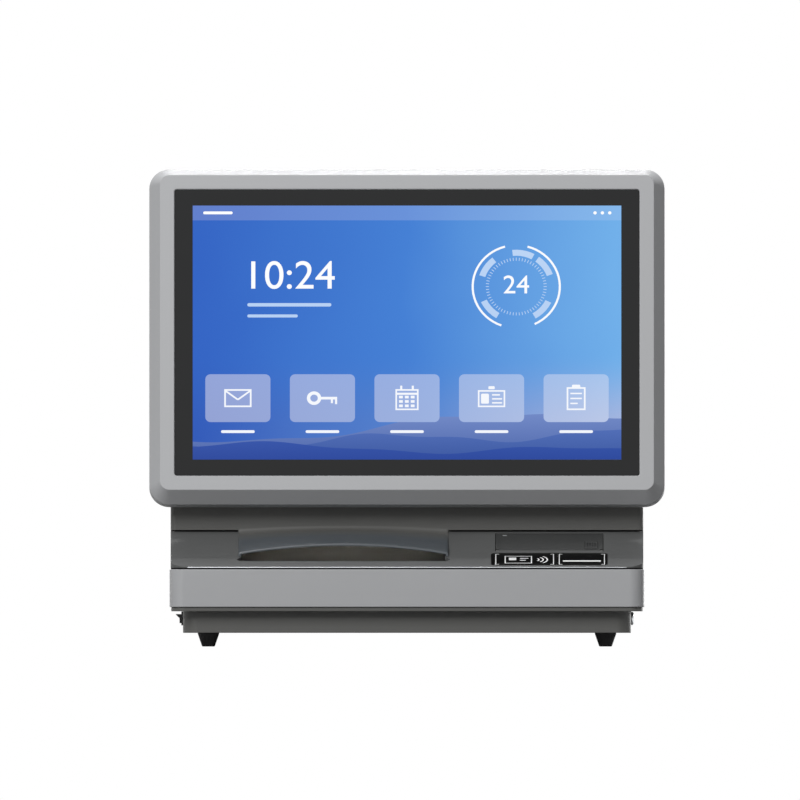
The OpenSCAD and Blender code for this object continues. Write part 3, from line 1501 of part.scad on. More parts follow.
module friction_washers() {
    color("#c9a24a") at_hinge() for (side = [0, 1]) mirror([side, 0, 0]) difference() {
        x_rod(2 * ear_r - 1, washer_x, washer_x + washer_t);
        x_rod(axle_d + 2 * bearing_gap, 0, axle_end_x);
    }
}

// Where a line from the foot of the stand's ear meets its round top, a little inside it
function ear_leave(foot) =
    let (dy = foot[0] - hinge_y, dz = foot[1] - hinge_z,
         turn = atan2(dz, dy) + sign(dy) * acos(stand_ear_r / norm([dy, dz])),
         r = stand_ear_r - fit_gap)
    [hinge_y + r * cos(turn), hinge_z + r * sin(turn)];

// Stand: foot plate on the roof, two tapered ears and a cross web behind the axle
module stand_bracket() {
    ear_front = [stand_plate_front + over, top_z + over];
    ear_back = [stand_plate_back - over, top_z + over];
    web_y = hinge_y + stand_ear_r + 5;
    web_t = 4;
    web_h = (hinge_z - top_z) * 0.55;
    color(charcoal) difference() {
        union() {
            translate([-axle_end_x, stand_plate_front, top_z])
                cube([2 * axle_end_x, stand_plate_back - stand_plate_front, stand_plate_t]);
            for (sx = [-1, 1])
                translate([sx * (stand_ear_x + stand_ear_t / 2), 0, 0]) along_x(stand_ear_t) {
                    polygon([ear_front, ear_leave(ear_front), ear_leave(ear_back), ear_back]);
                    translate([hinge_y, hinge_z]) circle(stand_ear_r);
                }
            translate([-axle_end_x + over, web_y, top_z + over])
                cube([2 * (axle_end_x - over), web_t, web_h - over]);
        }
        at_hinge() x_rod(axle_d + 2 * bearing_gap, -body_w, body_w);
        at_spots(stand_spots, top_z - over)
            cylinder(d = stand_screw_d + 2 * screw_gap, h = stand_plate_t + 2 * over);
    }
}

module stand_screws() {
    color(steel) at_spots(stand_spots, top_z + stand_plate_t) rotate([180, 0, 0])
        screw(stand_screw_d, stand_plate_t + case_wall + screw_tail);
}

// Closed rubber gland in the roof for the display's lead
module cable_gland() {
    flange = 3;
    flange_t = 2;
    color(black) translate([0, gland_y, top_z]) {
        cylinder(d = gland_d + 2 * flange, h = flange_t);
        translate([0, 0, -case_wall - flange_t]) cylinder(d = gland_d, h = case_wall + flange_t + over);
        translate([0, 0, flange_t - over])
            cylinder(d1 = gland_d, d2 = gland_d - 2 * flange, h = flange + 2 * over);
    }
}

lower_tray();
feet();
foot_screws();
case_screws();
mid_frame();
deck_shell();
top_cover();
scan_bed();
scan_glass();
bay_liner();
light_box();
scan_camera();
scan_lamps();
printer_frame();
printer_flap();
flap_pin();
open_button();
printer_led();
platen_roller();
platen_shaft();
print_head();
paper_roll();
roll_spindle();
card_window();
id_antenna();
ic_antenna();
main_board();
board_posts();
heat_sink();
io_plate();
usb_sockets();
lan_socket();
power_supply();
mains_inlet();
rocker_frame();
rocker_paddle();
start_bezel();
start_cap();
start_nut();
front_bezel();
touch_glass();
lcd_panel();
panel_chassis();
display_board();
rear_shell();
shell_screws();
tilt_bracket();
bracket_screws();
hinge_axle();
axle_nuts();
friction_washers();
stand_bracket();
stand_screws();
cable_gland();
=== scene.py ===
"""Visitor terminal: finishes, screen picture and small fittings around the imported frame."""

import json
import math

import bmesh
import bpy
from mathutils import Matrix, Vector


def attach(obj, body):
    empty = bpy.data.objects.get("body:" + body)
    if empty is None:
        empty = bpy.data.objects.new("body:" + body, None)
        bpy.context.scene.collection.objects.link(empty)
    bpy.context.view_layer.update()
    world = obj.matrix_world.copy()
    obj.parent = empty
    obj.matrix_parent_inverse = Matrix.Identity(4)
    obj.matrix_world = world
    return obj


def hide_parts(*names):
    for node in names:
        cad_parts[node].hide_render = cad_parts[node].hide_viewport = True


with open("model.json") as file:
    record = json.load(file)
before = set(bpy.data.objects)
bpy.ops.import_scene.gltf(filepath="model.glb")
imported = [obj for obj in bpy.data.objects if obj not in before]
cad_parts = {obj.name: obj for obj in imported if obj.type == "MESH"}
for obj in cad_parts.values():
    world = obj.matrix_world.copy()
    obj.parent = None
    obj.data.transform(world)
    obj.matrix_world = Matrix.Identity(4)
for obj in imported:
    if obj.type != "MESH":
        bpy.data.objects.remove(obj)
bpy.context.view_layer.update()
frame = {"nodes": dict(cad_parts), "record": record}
record = frame["record"]
nodes = frame["nodes"]
scene = bpy.context.scene

body_of_node = {n: body for body, members in record["behaviour"]["bodies"].items() for n in members}
slot_of_node = {s["node"]: s["material_slot"] for s in record["subparts"]}

# Places on the product, in millimetres and degrees
MM = 0.001
FACE_LEAN = 18.5
FACE_FOOT = (0, -107.0, 149.273)
GLASS_IN = 0.6
PICTURE_W = 408.0
PICTURE_LOW = 30.5
PICTURE_HIGH = 285.3
LOWER_SLOPE = 19.0
LOWER_FOOT = (0, -149.0, 76.5)
UPPER_SLOPE = 27.0
UPPER_FOOT = (135.5, -110.5, 89.757)
ROLL_AXIS = (135.5, -76.903, 70.736)
HOOD_ROOT_Y = -77.0
HOOD_GLOSS_Y = -96.0
TO_METRES = Matrix.Scale(MM, 4)


def plane(foot, rise):
    """Frame of a slope: x across it, y up it at that angle from level, z out of it, in metres."""
    t = math.radians(rise)
    turn = Matrix(((1, 0, 0), (0, math.cos(t), -math.sin(t)), (0, math.sin(t), math.cos(t)))).to_4x4()
    return Matrix.Translation(Vector(foot) * MM) @ turn @ TO_METRES


ON_FACE = plane(FACE_FOOT, 90 - FACE_LEAN)
ON_LOWER = plane(LOWER_FOOT, LOWER_SLOPE)
ON_UPPER = plane(UPPER_FOOT, UPPER_SLOPE)


# Finishes
def srgb(code):
    """Linear colour of an sRGB hex value."""
    parts = [int(code[i:i + 2], 16) / 255 for i in (1, 3, 5)]
    return tuple(c / 12.92 if c <= 0.04045 else ((c + 0.055) / 1.055) ** 2.4 for c in parts) + (1.0,)


def shade(code, by):
    """The same colour, lighter or darker by a factor."""
    return tuple(min(1.0, c * by) for c in srgb(code)[:3]) + (1.0,)


def per(size):
    """Texture scale for a feature of that many millimetres."""
    return 1 / (size * MM)


def add(tree, kind, inputs=None, **settings):
    """One node with its settings; an input is a value or another node's output."""
    node = tree.nodes.new(kind)
    for key, value in settings.items():
        setattr(node, key, value)
    for socket, value in (inputs or {}).items():
        if isinstance(value, bpy.types.NodeSocket):
            tree.links.new(value, node.inputs[socket])
        else:
            node.inputs[socket].default_value = value
    return node


def material(name, surface):
    """A finish; surface adds its nodes and returns what goes into the shader."""
    made = bpy.data.materials.new(name)
    made.use_nodes = True
    tree = made.node_tree
    tree.nodes.clear()
    place = add(tree, "ShaderNodeTexCoord").outputs["Object"]
    shader = add(tree, "ShaderNodeBsdfPrincipled", surface(tree, place))
    add(tree, "ShaderNodeOutputMaterial", {"Surface": shader.outputs["BSDF"]})
    return made


# Sockets of a Mix node set to colour
BY, LOW, HIGH, MIXED = 0, 6, 7, 2
# Skin of a moulding: the real grain is about 0.1 mm, drawn coarser so that it shows
GRAIN, GRAIN_DEPTH, GRAIN_BITE = 0.7, 0.1, 0.25
# Slow drift of gloss and tint over a moulding, as plastic flows in its mould
DRIFT_SIZE, GLOSS_DRIFT, TINT_DRIFT = 70, 0.05, 0.05
ABS_IOR = 1.53
COVER_GREY, COVER_ROUGH, COVER_SPECULAR = "#4d4d4b", 0.55, 0.4
# Hood: the blue-grey colour is painted sheen, standing for reflected cool light; its lower roughness and
# weaker grain are the real polish
HOOD_PAINTED_SHEEN_GREY, HOOD_ROUGH, HOOD_BITE = "#474c51", 0.3, 0.06


def moulded(name, code, rough, grain=GRAIN, bite=GRAIN_BITE, specular=0.5, mottle=TINT_DRIFT):
    """Moulded plastic: the mould's spark-eroded skin gives an even fine grain and a broad soft gloss."""
    def surface(tree, place):
        skin = add(tree, "ShaderNodeTexNoise", {"Vector": place, "Scale": per(grain), "Detail": 3.0})
        drift = add(tree, "ShaderNodeTexNoise", {"Vector": place, "Scale": per(DRIFT_SIZE), "Detail": 2.0})
        gloss = add(tree, "ShaderNodeMapRange", {
            "Value": drift.outputs["Fac"], "To Min": rough - GLOSS_DRIFT, "To Max": rough + GLOSS_DRIFT})
        bump = add(tree, "ShaderNodeBump", {
            "Strength": bite, "Distance": GRAIN_DEPTH * MM, "Height": skin.outputs["Fac"]})
        tint = add(tree, "ShaderNodeMix", {
            BY: drift.outputs["Fac"], LOW: shade(code, 1 - mottle), HIGH: shade(code, 1 + mottle)},
            data_type="RGBA")
        return {"Base Color": tint.outputs[MIXED], "Roughness": gloss.outputs[0],
                "Specular IOR Level": specular, "IOR": ABS_IOR, "Normal": bump.outputs["Normal"]}
    return material(name, surface)


def cover_surface(tree, place):
    # One moulding: the neck and roof spark-eroded and matt, the hood polished in the tool, so that it
    # mirrors the dark frame above it and its lip catches the light; the hood's blue-grey tint is painted
    # sheen, a painted reflection of cool light
    skin = add(tree, "ShaderNodeTexNoise", {"Vector": place, "Scale": per(GRAIN), "Detail": 3.0})
    drift = add(tree, "ShaderNodeTexNoise", {"Vector": place, "Scale": per(DRIFT_SIZE), "Detail": 2.0})
    out = add(tree, "ShaderNodeSeparateXYZ", {"Vector": place})
    polish_and_painted_sheen = add(tree, "ShaderNodeMapRange", {
        "Value": out.outputs["Y"], "From Min": HOOD_ROOT_Y * MM, "From Max": HOOD_GLOSS_Y * MM})
    gloss = add(tree, "ShaderNodeMapRange", {
        "Value": polish_and_painted_sheen.outputs[0], "To Min": COVER_ROUGH, "To Max": HOOD_ROUGH})
    bite = add(tree, "ShaderNodeMapRange", {
        "Value": polish_and_painted_sheen.outputs[0], "To Min": GRAIN_BITE, "To Max": HOOD_BITE})
    bump = add(tree, "ShaderNodeBump", {
        "Strength": bite.outputs[0], "Distance": GRAIN_DEPTH * MM, "Height": skin.outputs["Fac"]})
    matt = add(tree, "ShaderNodeMix", {
        BY: drift.outputs["Fac"], LOW: shade(COVER_GREY, 1 - TINT_DRIFT),
        HIGH: shade(COVER_GREY, 1 + TINT_DRIFT)}, data_type="RGBA")
    # Painted sheen: the colour turns blue-grey over the polished hood
    tint = add(tree, "ShaderNodeMix", {
        BY: polish_and_painted_sheen.outputs[0], LOW: matt.outputs[MIXED], HIGH: srgb(HOOD_PAINTED_SHEEN_GREY)}, data_type="RGBA")
    return {"Base Color": tint.outputs[MIXED], "Roughness": gloss.outputs[0],
            "Specular IOR Level": COVER_SPECULAR, "IOR": ABS_IOR, "Normal": bump.outputs["Normal"]}


def metal(name, code, rough, grain=0.6, along=(1, 1, 1)):
    """Bare or plated metal: fine lines or flecks along one way break up its reflections."""
    def surface(tree, place):
        run = add(tree, "ShaderNodeMapping", {"Vector": place, "Scale": along})
        lines = add(tree, "ShaderNodeTexNoise", {
            "Vector": run.outputs[0], "Scale": per(grain), "Detail": 2.0})
        gloss = add(tree, "ShaderNodeMapRange", {
            "Value": lines.outputs["Fac"], "To Min": rough * 0.7, "To Max": rough * 1.3})
        bump = add(tree, "ShaderNodeBump", {
            "Strength": 0.1, "Distance": 0.05 * MM, "Height": lines.outputs["Fac"]})
        tint = add(tree, "ShaderNodeMix", {
            BY: lines.outputs["Fac"], LOW: shade(code, 0.92), HIGH: shade(code, 1.06)}, data_type="RGBA")
        return {"Base Color": tint.outputs[MIXED], "Roughness": gloss.outputs[0], "Metallic": 1.0,
                "Normal": bump.outputs["Normal"]}
    return material(name, surface)


def gloss_sheet(name, code, rough):
    """Polished sheet, black behind: near mirror gloss with faint wiped streaks."""
    def surface(tree, place):
        streak = add(tree, "ShaderNodeTexNoise", {"Vector": place, "Scale": per(25), "Detail": 3.0})
        gloss = add(tree, "ShaderNodeMapRange", {
            "Value": streak.outputs["Fac"], "To Min": rough * 0.6, "To Max": rough * 1.5})
        tint = add(tree, "ShaderNodeMix", {
            BY: streak.outputs["Fac"], LOW: shade(code, 0.94), HIGH: shade(code, 1.05)}, data_type="RGBA")
        return {"Base Color": tint.outputs[MIXED], "Roughness": gloss.outputs[0],
                "Specular IOR Level": 0.3}
    return material(name, surface)


def glow(colour, strength=1.0):
    """Shader values of a surface with its own light: black and smooth where it is off."""
    return {"Base Color": (0, 0, 0, 1), "Roughness": 0.12, "Specular IOR Level": 0.2,
            "Emission Color": colour, "Emission Strength": strength}


def lit(name, low, high, reach=(150, 420), strength=1.0):
    """Own light that runs from one tint to another between two heights in millimetres."""
    def surface(tree, place):
        height = add(tree, "ShaderNodeSeparateXYZ", {"Vector": place}).outputs["Z"]
        rise = add(tree, "ShaderNodeMapRange", {
            "Value": height, "From Min": reach[0] * MM, "From Max": reach[1] * MM})
        tint = add(tree, "ShaderNodeMix", {
            BY: rise.outputs[0], LOW: srgb(low), HIGH: srgb(high)}, data_type="RGBA")
        return glow(tint.outputs[MIXED], strength)
    return material(name, surface)


# Sky on the screen: its tint at the left, at the right, and at a place between them
DAY_SKY = ("#215dc1", "#6cade8", 0.5, "#3a7bd2")
DUSK_SKY = ("#2153b6", "#a9b4da", 0.55, "#5583cd")
SKY_REACH = (180, 420)
SKY_VEIL = "#dfe6f6"


def picture(name, veil):
    """Lit picture: blue from the left to a paler right, dusk low down on the right; veil pales it."""
    def surface(tree, place):
        spot = add(tree, "ShaderNodeSeparateXYZ", {"Vector": place})
        side = add(tree, "ShaderNodeMapRange", {
            "Value": spot.outputs["X"], "From Min": -PICTURE_W / 2 * MM, "From Max": PICTURE_W / 2 * MM})
        height = add(tree, "ShaderNodeMapRange", {
            "Value": spot.outputs["Z"], "From Min": SKY_REACH[0] * MM, "From Max": SKY_REACH[1] * MM})
        haze = add(tree, "ShaderNodeTexNoise", {"Vector": place, "Scale": per(140), "Detail": 2.0})
        wander = add(tree, "ShaderNodeMath", {
            0: haze.outputs["Fac"], 1: 0.16, 2: -0.08}, operation="MULTIPLY_ADD")
        swept = add(tree, "ShaderNodeMath", {0: side.outputs[0], 1: wander.outputs[0]}, operation="ADD")
        ramps = []
        for left, right, share, middle in (DAY_SKY, DUSK_SKY):
            ramp = add(tree, "ShaderNodeValToRGB", {"Fac": swept.outputs[0]})
            ramp.color_ramp.elements[0].color = srgb(left)
            ramp.color_ramp.elements[1].color = srgb(right)
            ramp.color_ramp.elements.new(share).color = srgb(middle)
            ramps.append(ramp.outputs["Color"])
        foot = add(tree, "ShaderNodeMapRange", {
            "Value": height.outputs[0], "From Min": 0.42, "From Max": 0.05}, interpolation_type="SMOOTHSTEP")
        sky = add(tree, "ShaderNodeMix", {
            BY: foot.outputs[0], LOW: ramps[0], HIGH: ramps[1]}, data_type="RGBA")
        paled = add(tree, "ShaderNodeMix", {
            BY: veil, LOW: sky.outputs[MIXED], HIGH: srgb(SKY_VEIL)}, data_type="RGBA")
        return glow(paled.outputs[MIXED])
    return material(name, surface)


def laminate_surface(tree, place):
    # Solder mask over copper: green with paler tracks in a fine maze
    maze = add(tree, "ShaderNodeTexVoronoi", {"Vector": place, "Scale": per(3)},
               feature="DISTANCE_TO_EDGE")
    track = add(tree, "ShaderNodeMath", {0: maze.outputs["Distance"], 1: 0.08}, operation="LESS_THAN")
    tint = add(tree, "ShaderNodeMix", {
        BY: track.outputs[0], LOW: srgb("#1c4a2c"), HIGH: srgb("#3a7a48")}, data_type="RGBA")
    return {"Base Color": tint.outputs[MIXED], "Roughness": 0.4}


def paper_surface(tree, place):
    # Wound thermal paper: white and matt, its edges a close set of rings round the roll's axis; the real
    # turns are 0.06 mm apart, drawn coarser so that they show
    centre = add(tree, "ShaderNodeMapping", {"Vector": place, "Location": [-c * MM for c in ROLL_AXIS]})
    turns = add(tree, "ShaderNodeTexWave", {
        "Vector": centre.outputs[0], "Scale": per(6), "Distortion": 0.6},
        wave_type="RINGS", rings_direction="X")
    fibre = add(tree, "ShaderNodeTexNoise", {"Vector": place, "Scale": per(1.2), "Detail": 4.0})
    bump = add(tree, "ShaderNodeBump", {
        "Strength": 0.2, "Distance": 0.1 * MM, "Height": fibre.outputs["Fac"]})
    tint = add(tree, "ShaderNodeMix", {
        BY: turns.outputs["Fac"], LOW: srgb("#d9d8d2"), HIGH: srgb("#f1f0ea")}, data_type="RGBA")
    return {"Base Color": tint.outputs[MIXED], "Roughness": 0.8, "Normal": bump.outputs["Normal"]}


def glass_surface(tree, place):
    # Float glass: clear, faintly green, with a little dust on it
    dust = add(tree, "ShaderNodeTexNoise", {"Vector": place, "Scale": per(2), "Detail": 4.0})
    gloss = add(tree, "ShaderNodeMapRange", {"Value": dust.outputs["Fac"], "To Min": 0.0, "To Max": 0.06})
    return {"Base Color": srgb("#e6f0ec"), "Roughness": gloss.outputs[0], "IOR": 1.52,
            "Transmission Weight": 1.0}


def zinc_surface(tree, place):
    # Hot-dip zinc on sheet steel: crystals a few millimetres across, each its own grey
    spangle = add(tree, "ShaderNodeTexVoronoi", {"Vector": place, "Scale": per(5)})
    grey = add(tree, "ShaderNodeSeparateColor", {"Color": spangle.outputs["Color"]}).outputs["Red"]
    gloss = add(tree, "ShaderNodeMapRange", {"Value": grey, "To Min": 0.3, "To Max": 0.5})
    tint = add(tree, "ShaderNodeMix", {
        BY: grey, LOW: srgb("#9b9ea1"), HIGH: srgb("#c3c6c8")}, data_type="RGBA")
    return {"Base Color": tint.outputs[MIXED], "Roughness": gloss.outputs[0], "Metallic": 1.0}


finish = {
    # Housing plastic: warm charcoal, dull and even, with a low sheen at a slant
    "charcoal_abs": moulded("charcoal_abs_spark_eroded", COVER_GREY, COVER_ROUGH, specular=COVER_SPECULAR),
    # Deck plastic: a touch cooler and flatter, so that it hardly shines
    "slate_abs": moulded("slate_abs_spark_eroded", "#505151", 0.6, specular=0.22),
    # Band plastic: plain mid grey with a finer skin and a soft wide gloss
    "band_abs": moulded("grey_abs_fine_texture", "#a0a1a3", 0.48, bite=0.15, mottle=0.02),
    # Painted frame: silver grey, very even, satin rather than metallic
    "silver_abs": moulded("silver_abs_satin_paint", "#a6a7a9", 0.6, grain=0.5, bite=0.12, specular=0.3,
                          mottle=0.02),
    # Flap plastic: darker than the deck round it
    "flap_abs": moulded("dark_abs_fine_texture", "#313232", 0.5),
    # Black plastic: near black, with just enough gloss to show its edges
    "black_abs": moulded("black_abs_fine_texture", "#0e0f10", 0.45, specular=0.4),
    # Bay lining: warm grey and matt, so that it spreads the lamps' light
    "bay_abs": moulded("bay_abs_matt_texture", "#86827f", 0.6),
    # Rubber: black, coarse and dry, with almost no shine
    "foot_rubber": moulded("black_rubber_moulded", "#141415", 0.75, grain=1.2, bite=0.4, specular=0.3),
    # Touch glass: deep black border under a clear sharp gloss
    "touch_glass": gloss_sheet("black_backed_touch_glass", "#161718", 0.05),
    # Acrylic: blacker than the glass, its gloss a little softer
    "card_acrylic": gloss_sheet("black_acrylic_window", "#0c0c0d", 0.08),
    "scan_float_glass": material("float_glass_plate", glass_surface),
    # Light bar: a warm white glow with no hot spots
    "lamp_plastic": lit("milky_acrylic_light_bar", "#fff2ec", "#f6f4f4", reach=(60, 110), strength=26.0),
    # Zinc plate: bright bluish grey with soft flecks
    "screw_steel": metal("zinc_plated_steel", "#a9adb0", 0.3),
    "sheet_steel": material("hot_dip_zinc_sheet_steel", zinc_surface),
    # Powder coat: black with a coarse dimpled skin
    "stand_steel": moulded("black_powder_coat_on_steel", "#232527", 0.55, grain=1.6, bite=0.35),
    # Turned steel: bright, with close rings from the tool
    "button_steel": metal("turned_stainless_steel", "#c4c6c8", 0.24, grain=0.4, along=(6, 1, 1)),
    # Extruded alloy: pale, with long draw lines along its fins
    "sink_alloy": metal("extruded_aluminium", "#b9bcbe", 0.38, grain=1.5, along=(1, 0.05, 1)),
    # Brass: warm yellow, half bright
    "washer_brass": metal("rolled_brass", "#c9a458", 0.32),
    "board_laminate": material("solder_masked_laminate", laminate_surface),
    # Panel frame: black, smoother than the housings
    "panel_module": moulded("black_panel_frame", "#101113", 0.4),
    "roll_paper": material("wound_thermal_paper", paper_surface),
}
# Pad print: an even, dense white film
white_print = moulded("white_pad_print", "#e9eaea", 0.5, bite=0.1, mottle=0.02)
# Light pipe that is off: pale grey and smooth
status_light = moulded("clear_light_pipe", "#8f9293", 0.25, bite=0.05, mottle=0.02)
# Foam: black and dry; it fills the gaps as painted shade, so that a gap reads as a dark line
foam_and_painted_gap_shade = moulded("closed_cell_foam_painted_gap_shade", "#111112", 0.9, grain=0.9, bite=0.5, specular=0.1)
# Nickel plate: bright with a yellow cast, drawn lines along each blade
blade_nickel = metal("nickel_plated_brass", "#c9c4b8", 0.28, along=(1, 0.1, 1))
# Light pipes that are on: a small even glow
green_pipe = lit("green_light_pipe", "#1f9a3c", "#35c257", reach=(40, 60), strength=0.8)
amber_pipe = lit("amber_light_pipe", "#c07a10", "#e39a1c", reach=(40, 60), strength=0.8)
# Gold plate: a rich yellow glint
gold_contact = metal("gold_plated_contacts", "#d8b45a", 0.25)
# Painted highlight: a thin bright alloy bead that stands for the light caught by the deck's front edge,
# with brushing along its length
painted_highlight_alloy = metal("painted_edge_highlight_alloy", "#a4a6a8", 0.4, grain=0.8, along=(0.05, 1, 1))

node_look = {name: finish[slot_of_node[name]] for name in nodes}
node_look["printer_led"] = status_light
node_look["top_cover"] = material("charcoal_abs_polished_hood_painted_sheen", cover_surface)

for name, node in nodes.items():
    node.data.materials.clear()
    node.data.materials.append(node_look[name])


# Making pieces: corners nearer than WELD are one; a rounded edge has its steps, and a sharp one turns
# by more than an angle in degrees
WELD = 0.002 * MM
EDGE_STEPS, EDGE_ANGLE = 3, 32


def put(name, data):
    """A new object in the scene."""
    made = bpy.data.objects.new(name, data)
    scene.collection.objects.link(made)
    return made


def merged(mesh):
    """A CAD mesh for editing, its loose triangles joined."""
    form = bmesh.new()
    form.from_mesh(mesh)
    bmesh.ops.remove_doubles(form, verts=form.verts, dist=WELD)
    return form


def mesh_from(form, name):
    """A new mesh from an edited form, which goes."""
    mesh = bpy.data.meshes.new(name)
    form.to_mesh(mesh)
    form.free()
    return mesh


def walls(form, low, high):
    """Faces between two loops of corners."""
    for i in range(len(low)):
        j = (i + 1) % len(low)
        form.faces.new((low[i], low[j], high[j], high[i]))


def prism(form, low, high):
    """A closed solid between two loops of places."""
    foot = [form.verts.new(p) for p in low]
    head = [form.verts.new(p) for p in high]
    form.faces.new(foot[::-1])
    form.faces.new(head)
    walls(form, foot, head)


def hollow_prism(form, outer, inner, low, high):
    """A closed solid between an outline and a hole with as many corners."""
    loops = [[form.verts.new((x, y, z)) for x, y in path]
             for path, z in ((outer, low), (outer, high), (inner, high), (inner, low))]
    for a, b in zip(loops, loops[1:] + loops[:1]):
        walls(form, a, b)


def piece_of(mesh, name, look, body):
    """A mesh as a piece that rides on a body."""
    mesh.materials.clear()
    mesh.materials.append(look)
    piece = put(name, mesh)
    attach(piece, body)
    return piece


def stand_for(mesh, name, look, node):
    """A mesh as a piece in place of a node, on its body and in the finish it is given."""
    piece = piece_of(mesh, name, look, body_of_node[node])
    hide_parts(node)


def plain_mesh(source):
    """What an object's modifiers make of it, as a plain mesh; the object goes."""
    bpy.context.view_layer.update()
    graph = bpy.context.evaluated_depsgraph_get()
    mesh = bpy.data.meshes.new_from_object(source.evaluated_get(graph), depsgraph=graph)
    bpy.data.objects.remove(source)
    return mesh


def soften(node, width):
    """A node's shape with its sharp edges rounded by width millimetres; it stands for the node."""
    name = node + "_skin"
    mesh = mesh_from(merged(nodes[node].data), name)
    for face in mesh.polygons:
        face.use_smooth = True
    blank = put(name + "_blank", mesh)
    edge = blank.modifiers.new("edge", "BEVEL")
    edge.width = width * MM
    edge.segments = EDGE_STEPS
    edge.limit_method = "ANGLE"
    edge.angle_limit = math.radians(EDGE_ANGLE)
    edge.use_clamp_overlap = False
    edge.loop_slide = False
    edge.miter_outer = "MITER_ARC"
    join = blank.modifiers.new("join", "WELD")
    join.merge_threshold = WELD
    flat = blank.modifiers.new("flat", "WEIGHTED_NORMAL")
    flat.keep_sharp = True
    stand_for(plain_mesh(blank), name, node_look[node], node)


def flat_piece(name, outlines, place, low, high, look, body):
    """Outlines drawn on a slope and raised from low to high, in millimetres; a pair has a hole."""
    form = bmesh.new()
    for outline in outlines:
        if isinstance(outline, tuple):
            hollow_prism(form, *outline, low, high)
        else:
            prism(form, [(x, y, low) for x, y in outline], [(x, y, high) for x, y in outline])
    bmesh.ops.recalc_face_normals(form, faces=form.faces)
    mesh = mesh_from(form, name)
    mesh.transform(place)
    piece_of(mesh, name, look, body)


# Outlines in millimetres: a list of corners, or a pair of lists for an outline and its hole
CORNER_STEPS = 5
ARC_STEP = 6
RING_STEPS = 60


def arc_points(x, y, r, start, stop, steps):
    """Points on an arc, angles in degrees."""
    turns = [math.radians(start + (stop - start) * i / steps) for i in range(steps + 1)]
    return [(x + r * math.cos(t), y + r * math.sin(t)) for t in turns]


def pane(x0, y0, x1, y1, r=0.0):
    """Rectangle with corners of radius r."""
    if not r:
        return [(x0, y0), (x1, y0), (x1, y1), (x0, y1)]
    corners = ((x1 - r, y0 + r, -90), (x1 - r, y1 - r, 0), (x0 + r, y1 - r, 90), (x0 + r, y0 + r, 180))
    return [p for x, y, start in corners for p in arc_points(x, y, r, start, start + 90, CORNER_STEPS)]


def arc_band(x, y, inner, outer, start, stop):
    """Part of a ring."""
    steps = max(2, int(abs(stop - start) / ARC_STEP))
    return arc_points(x, y, outer, start, stop, steps) + arc_points(x, y, inner, stop, start, steps)


def disc(x, y, r, steps):
    """Points round a circle."""
    return arc_points(x, y, r, 0, 360, steps)[:-1]


def ring(x, y, inner, outer):
    """A whole ring."""
    return (disc(x, y, outer, RING_STEPS), disc(x, y, inner, RING_STEPS))


def stroke(x0, y0, x1, y1, width):
    """Straight line of a width."""
    along = Vector((x1 - x0, y1 - y0)).normalized() * width / 2
    side = Vector((-along.y, along.x))
    return [(x0 - side.x, y0 - side.y), (x1 - side.x, y1 - side.y),
            (x1 + side.x, y1 + side.y), (x0 + side.x, y0 + side.y)]


def pane_edge(x0, y0, x1, y1, width):
    """A rectangle's edge as a band of a width."""
    return (pane(x0, y0, x1, y1), pane(x0 + width, y0 + width, x1 - width, y1 - width))


def moved(outline, x, y):
    """An outline, or an outline and its hole, put at a place."""
    if isinstance(outline, tuple):
        return tuple(moved(path, x, y) for path in outline)
    return [(x + px, y + py) for px, py in outline]


# Geometry Nodes
def grower(name, sizes):
    """An empty tree with a geometry in and out and named inputs."""
    tree = bpy.data.node_groups.new(name, "GeometryNodeTree")
    tree.interface.new_socket("Geometry", in_out="INPUT", socket_type="NodeSocketGeometry")
    for label, kind in sizes.items():
        tree.interface.new_socket(label, in_out="INPUT", socket_type="NodeSocket" + kind)
    tree.interface.new_socket("Geometry", in_out="OUTPUT", socket_type="NodeSocketGeometry")
    return tree, add(tree, "NodeGroupInput").outputs


def close_tree(tree, made, look):
    """Ends a tree with plain geometry in one finish."""
    real = add(tree, "GeometryNodeRealizeInstances", {"Geometry": made})
    coated = add(tree, "GeometryNodeSetMaterial", {"Geometry": real.outputs[0], "Material": look})
    add(tree, "NodeGroupOutput", {"Geometry": coated.outputs[0]})
    return tree


def grow(name, tree, values, points, facing=None):
    """The mesh that a tree makes on points."""
    mesh = bpy.data.meshes.new(name)
    mesh.from_pydata([tuple(p) for p in points], [], [])
    if facing:
        way = mesh.attributes.new("facing", "FLOAT_VECTOR", "POINT")
        way.data.foreach_set("vector", [c for _ in points for c in facing])
    seed = put(name + "_points", mesh)
    nodes_on = seed.modifiers.new("grow", "NODES")
    nodes_on.node_group = tree
    for item in tree.interface.items_tree:
        if item.in_out == "INPUT" and item.name in values:
            nodes_on[item.identifier] = values[item.name]
    return plain_mesh(seed)


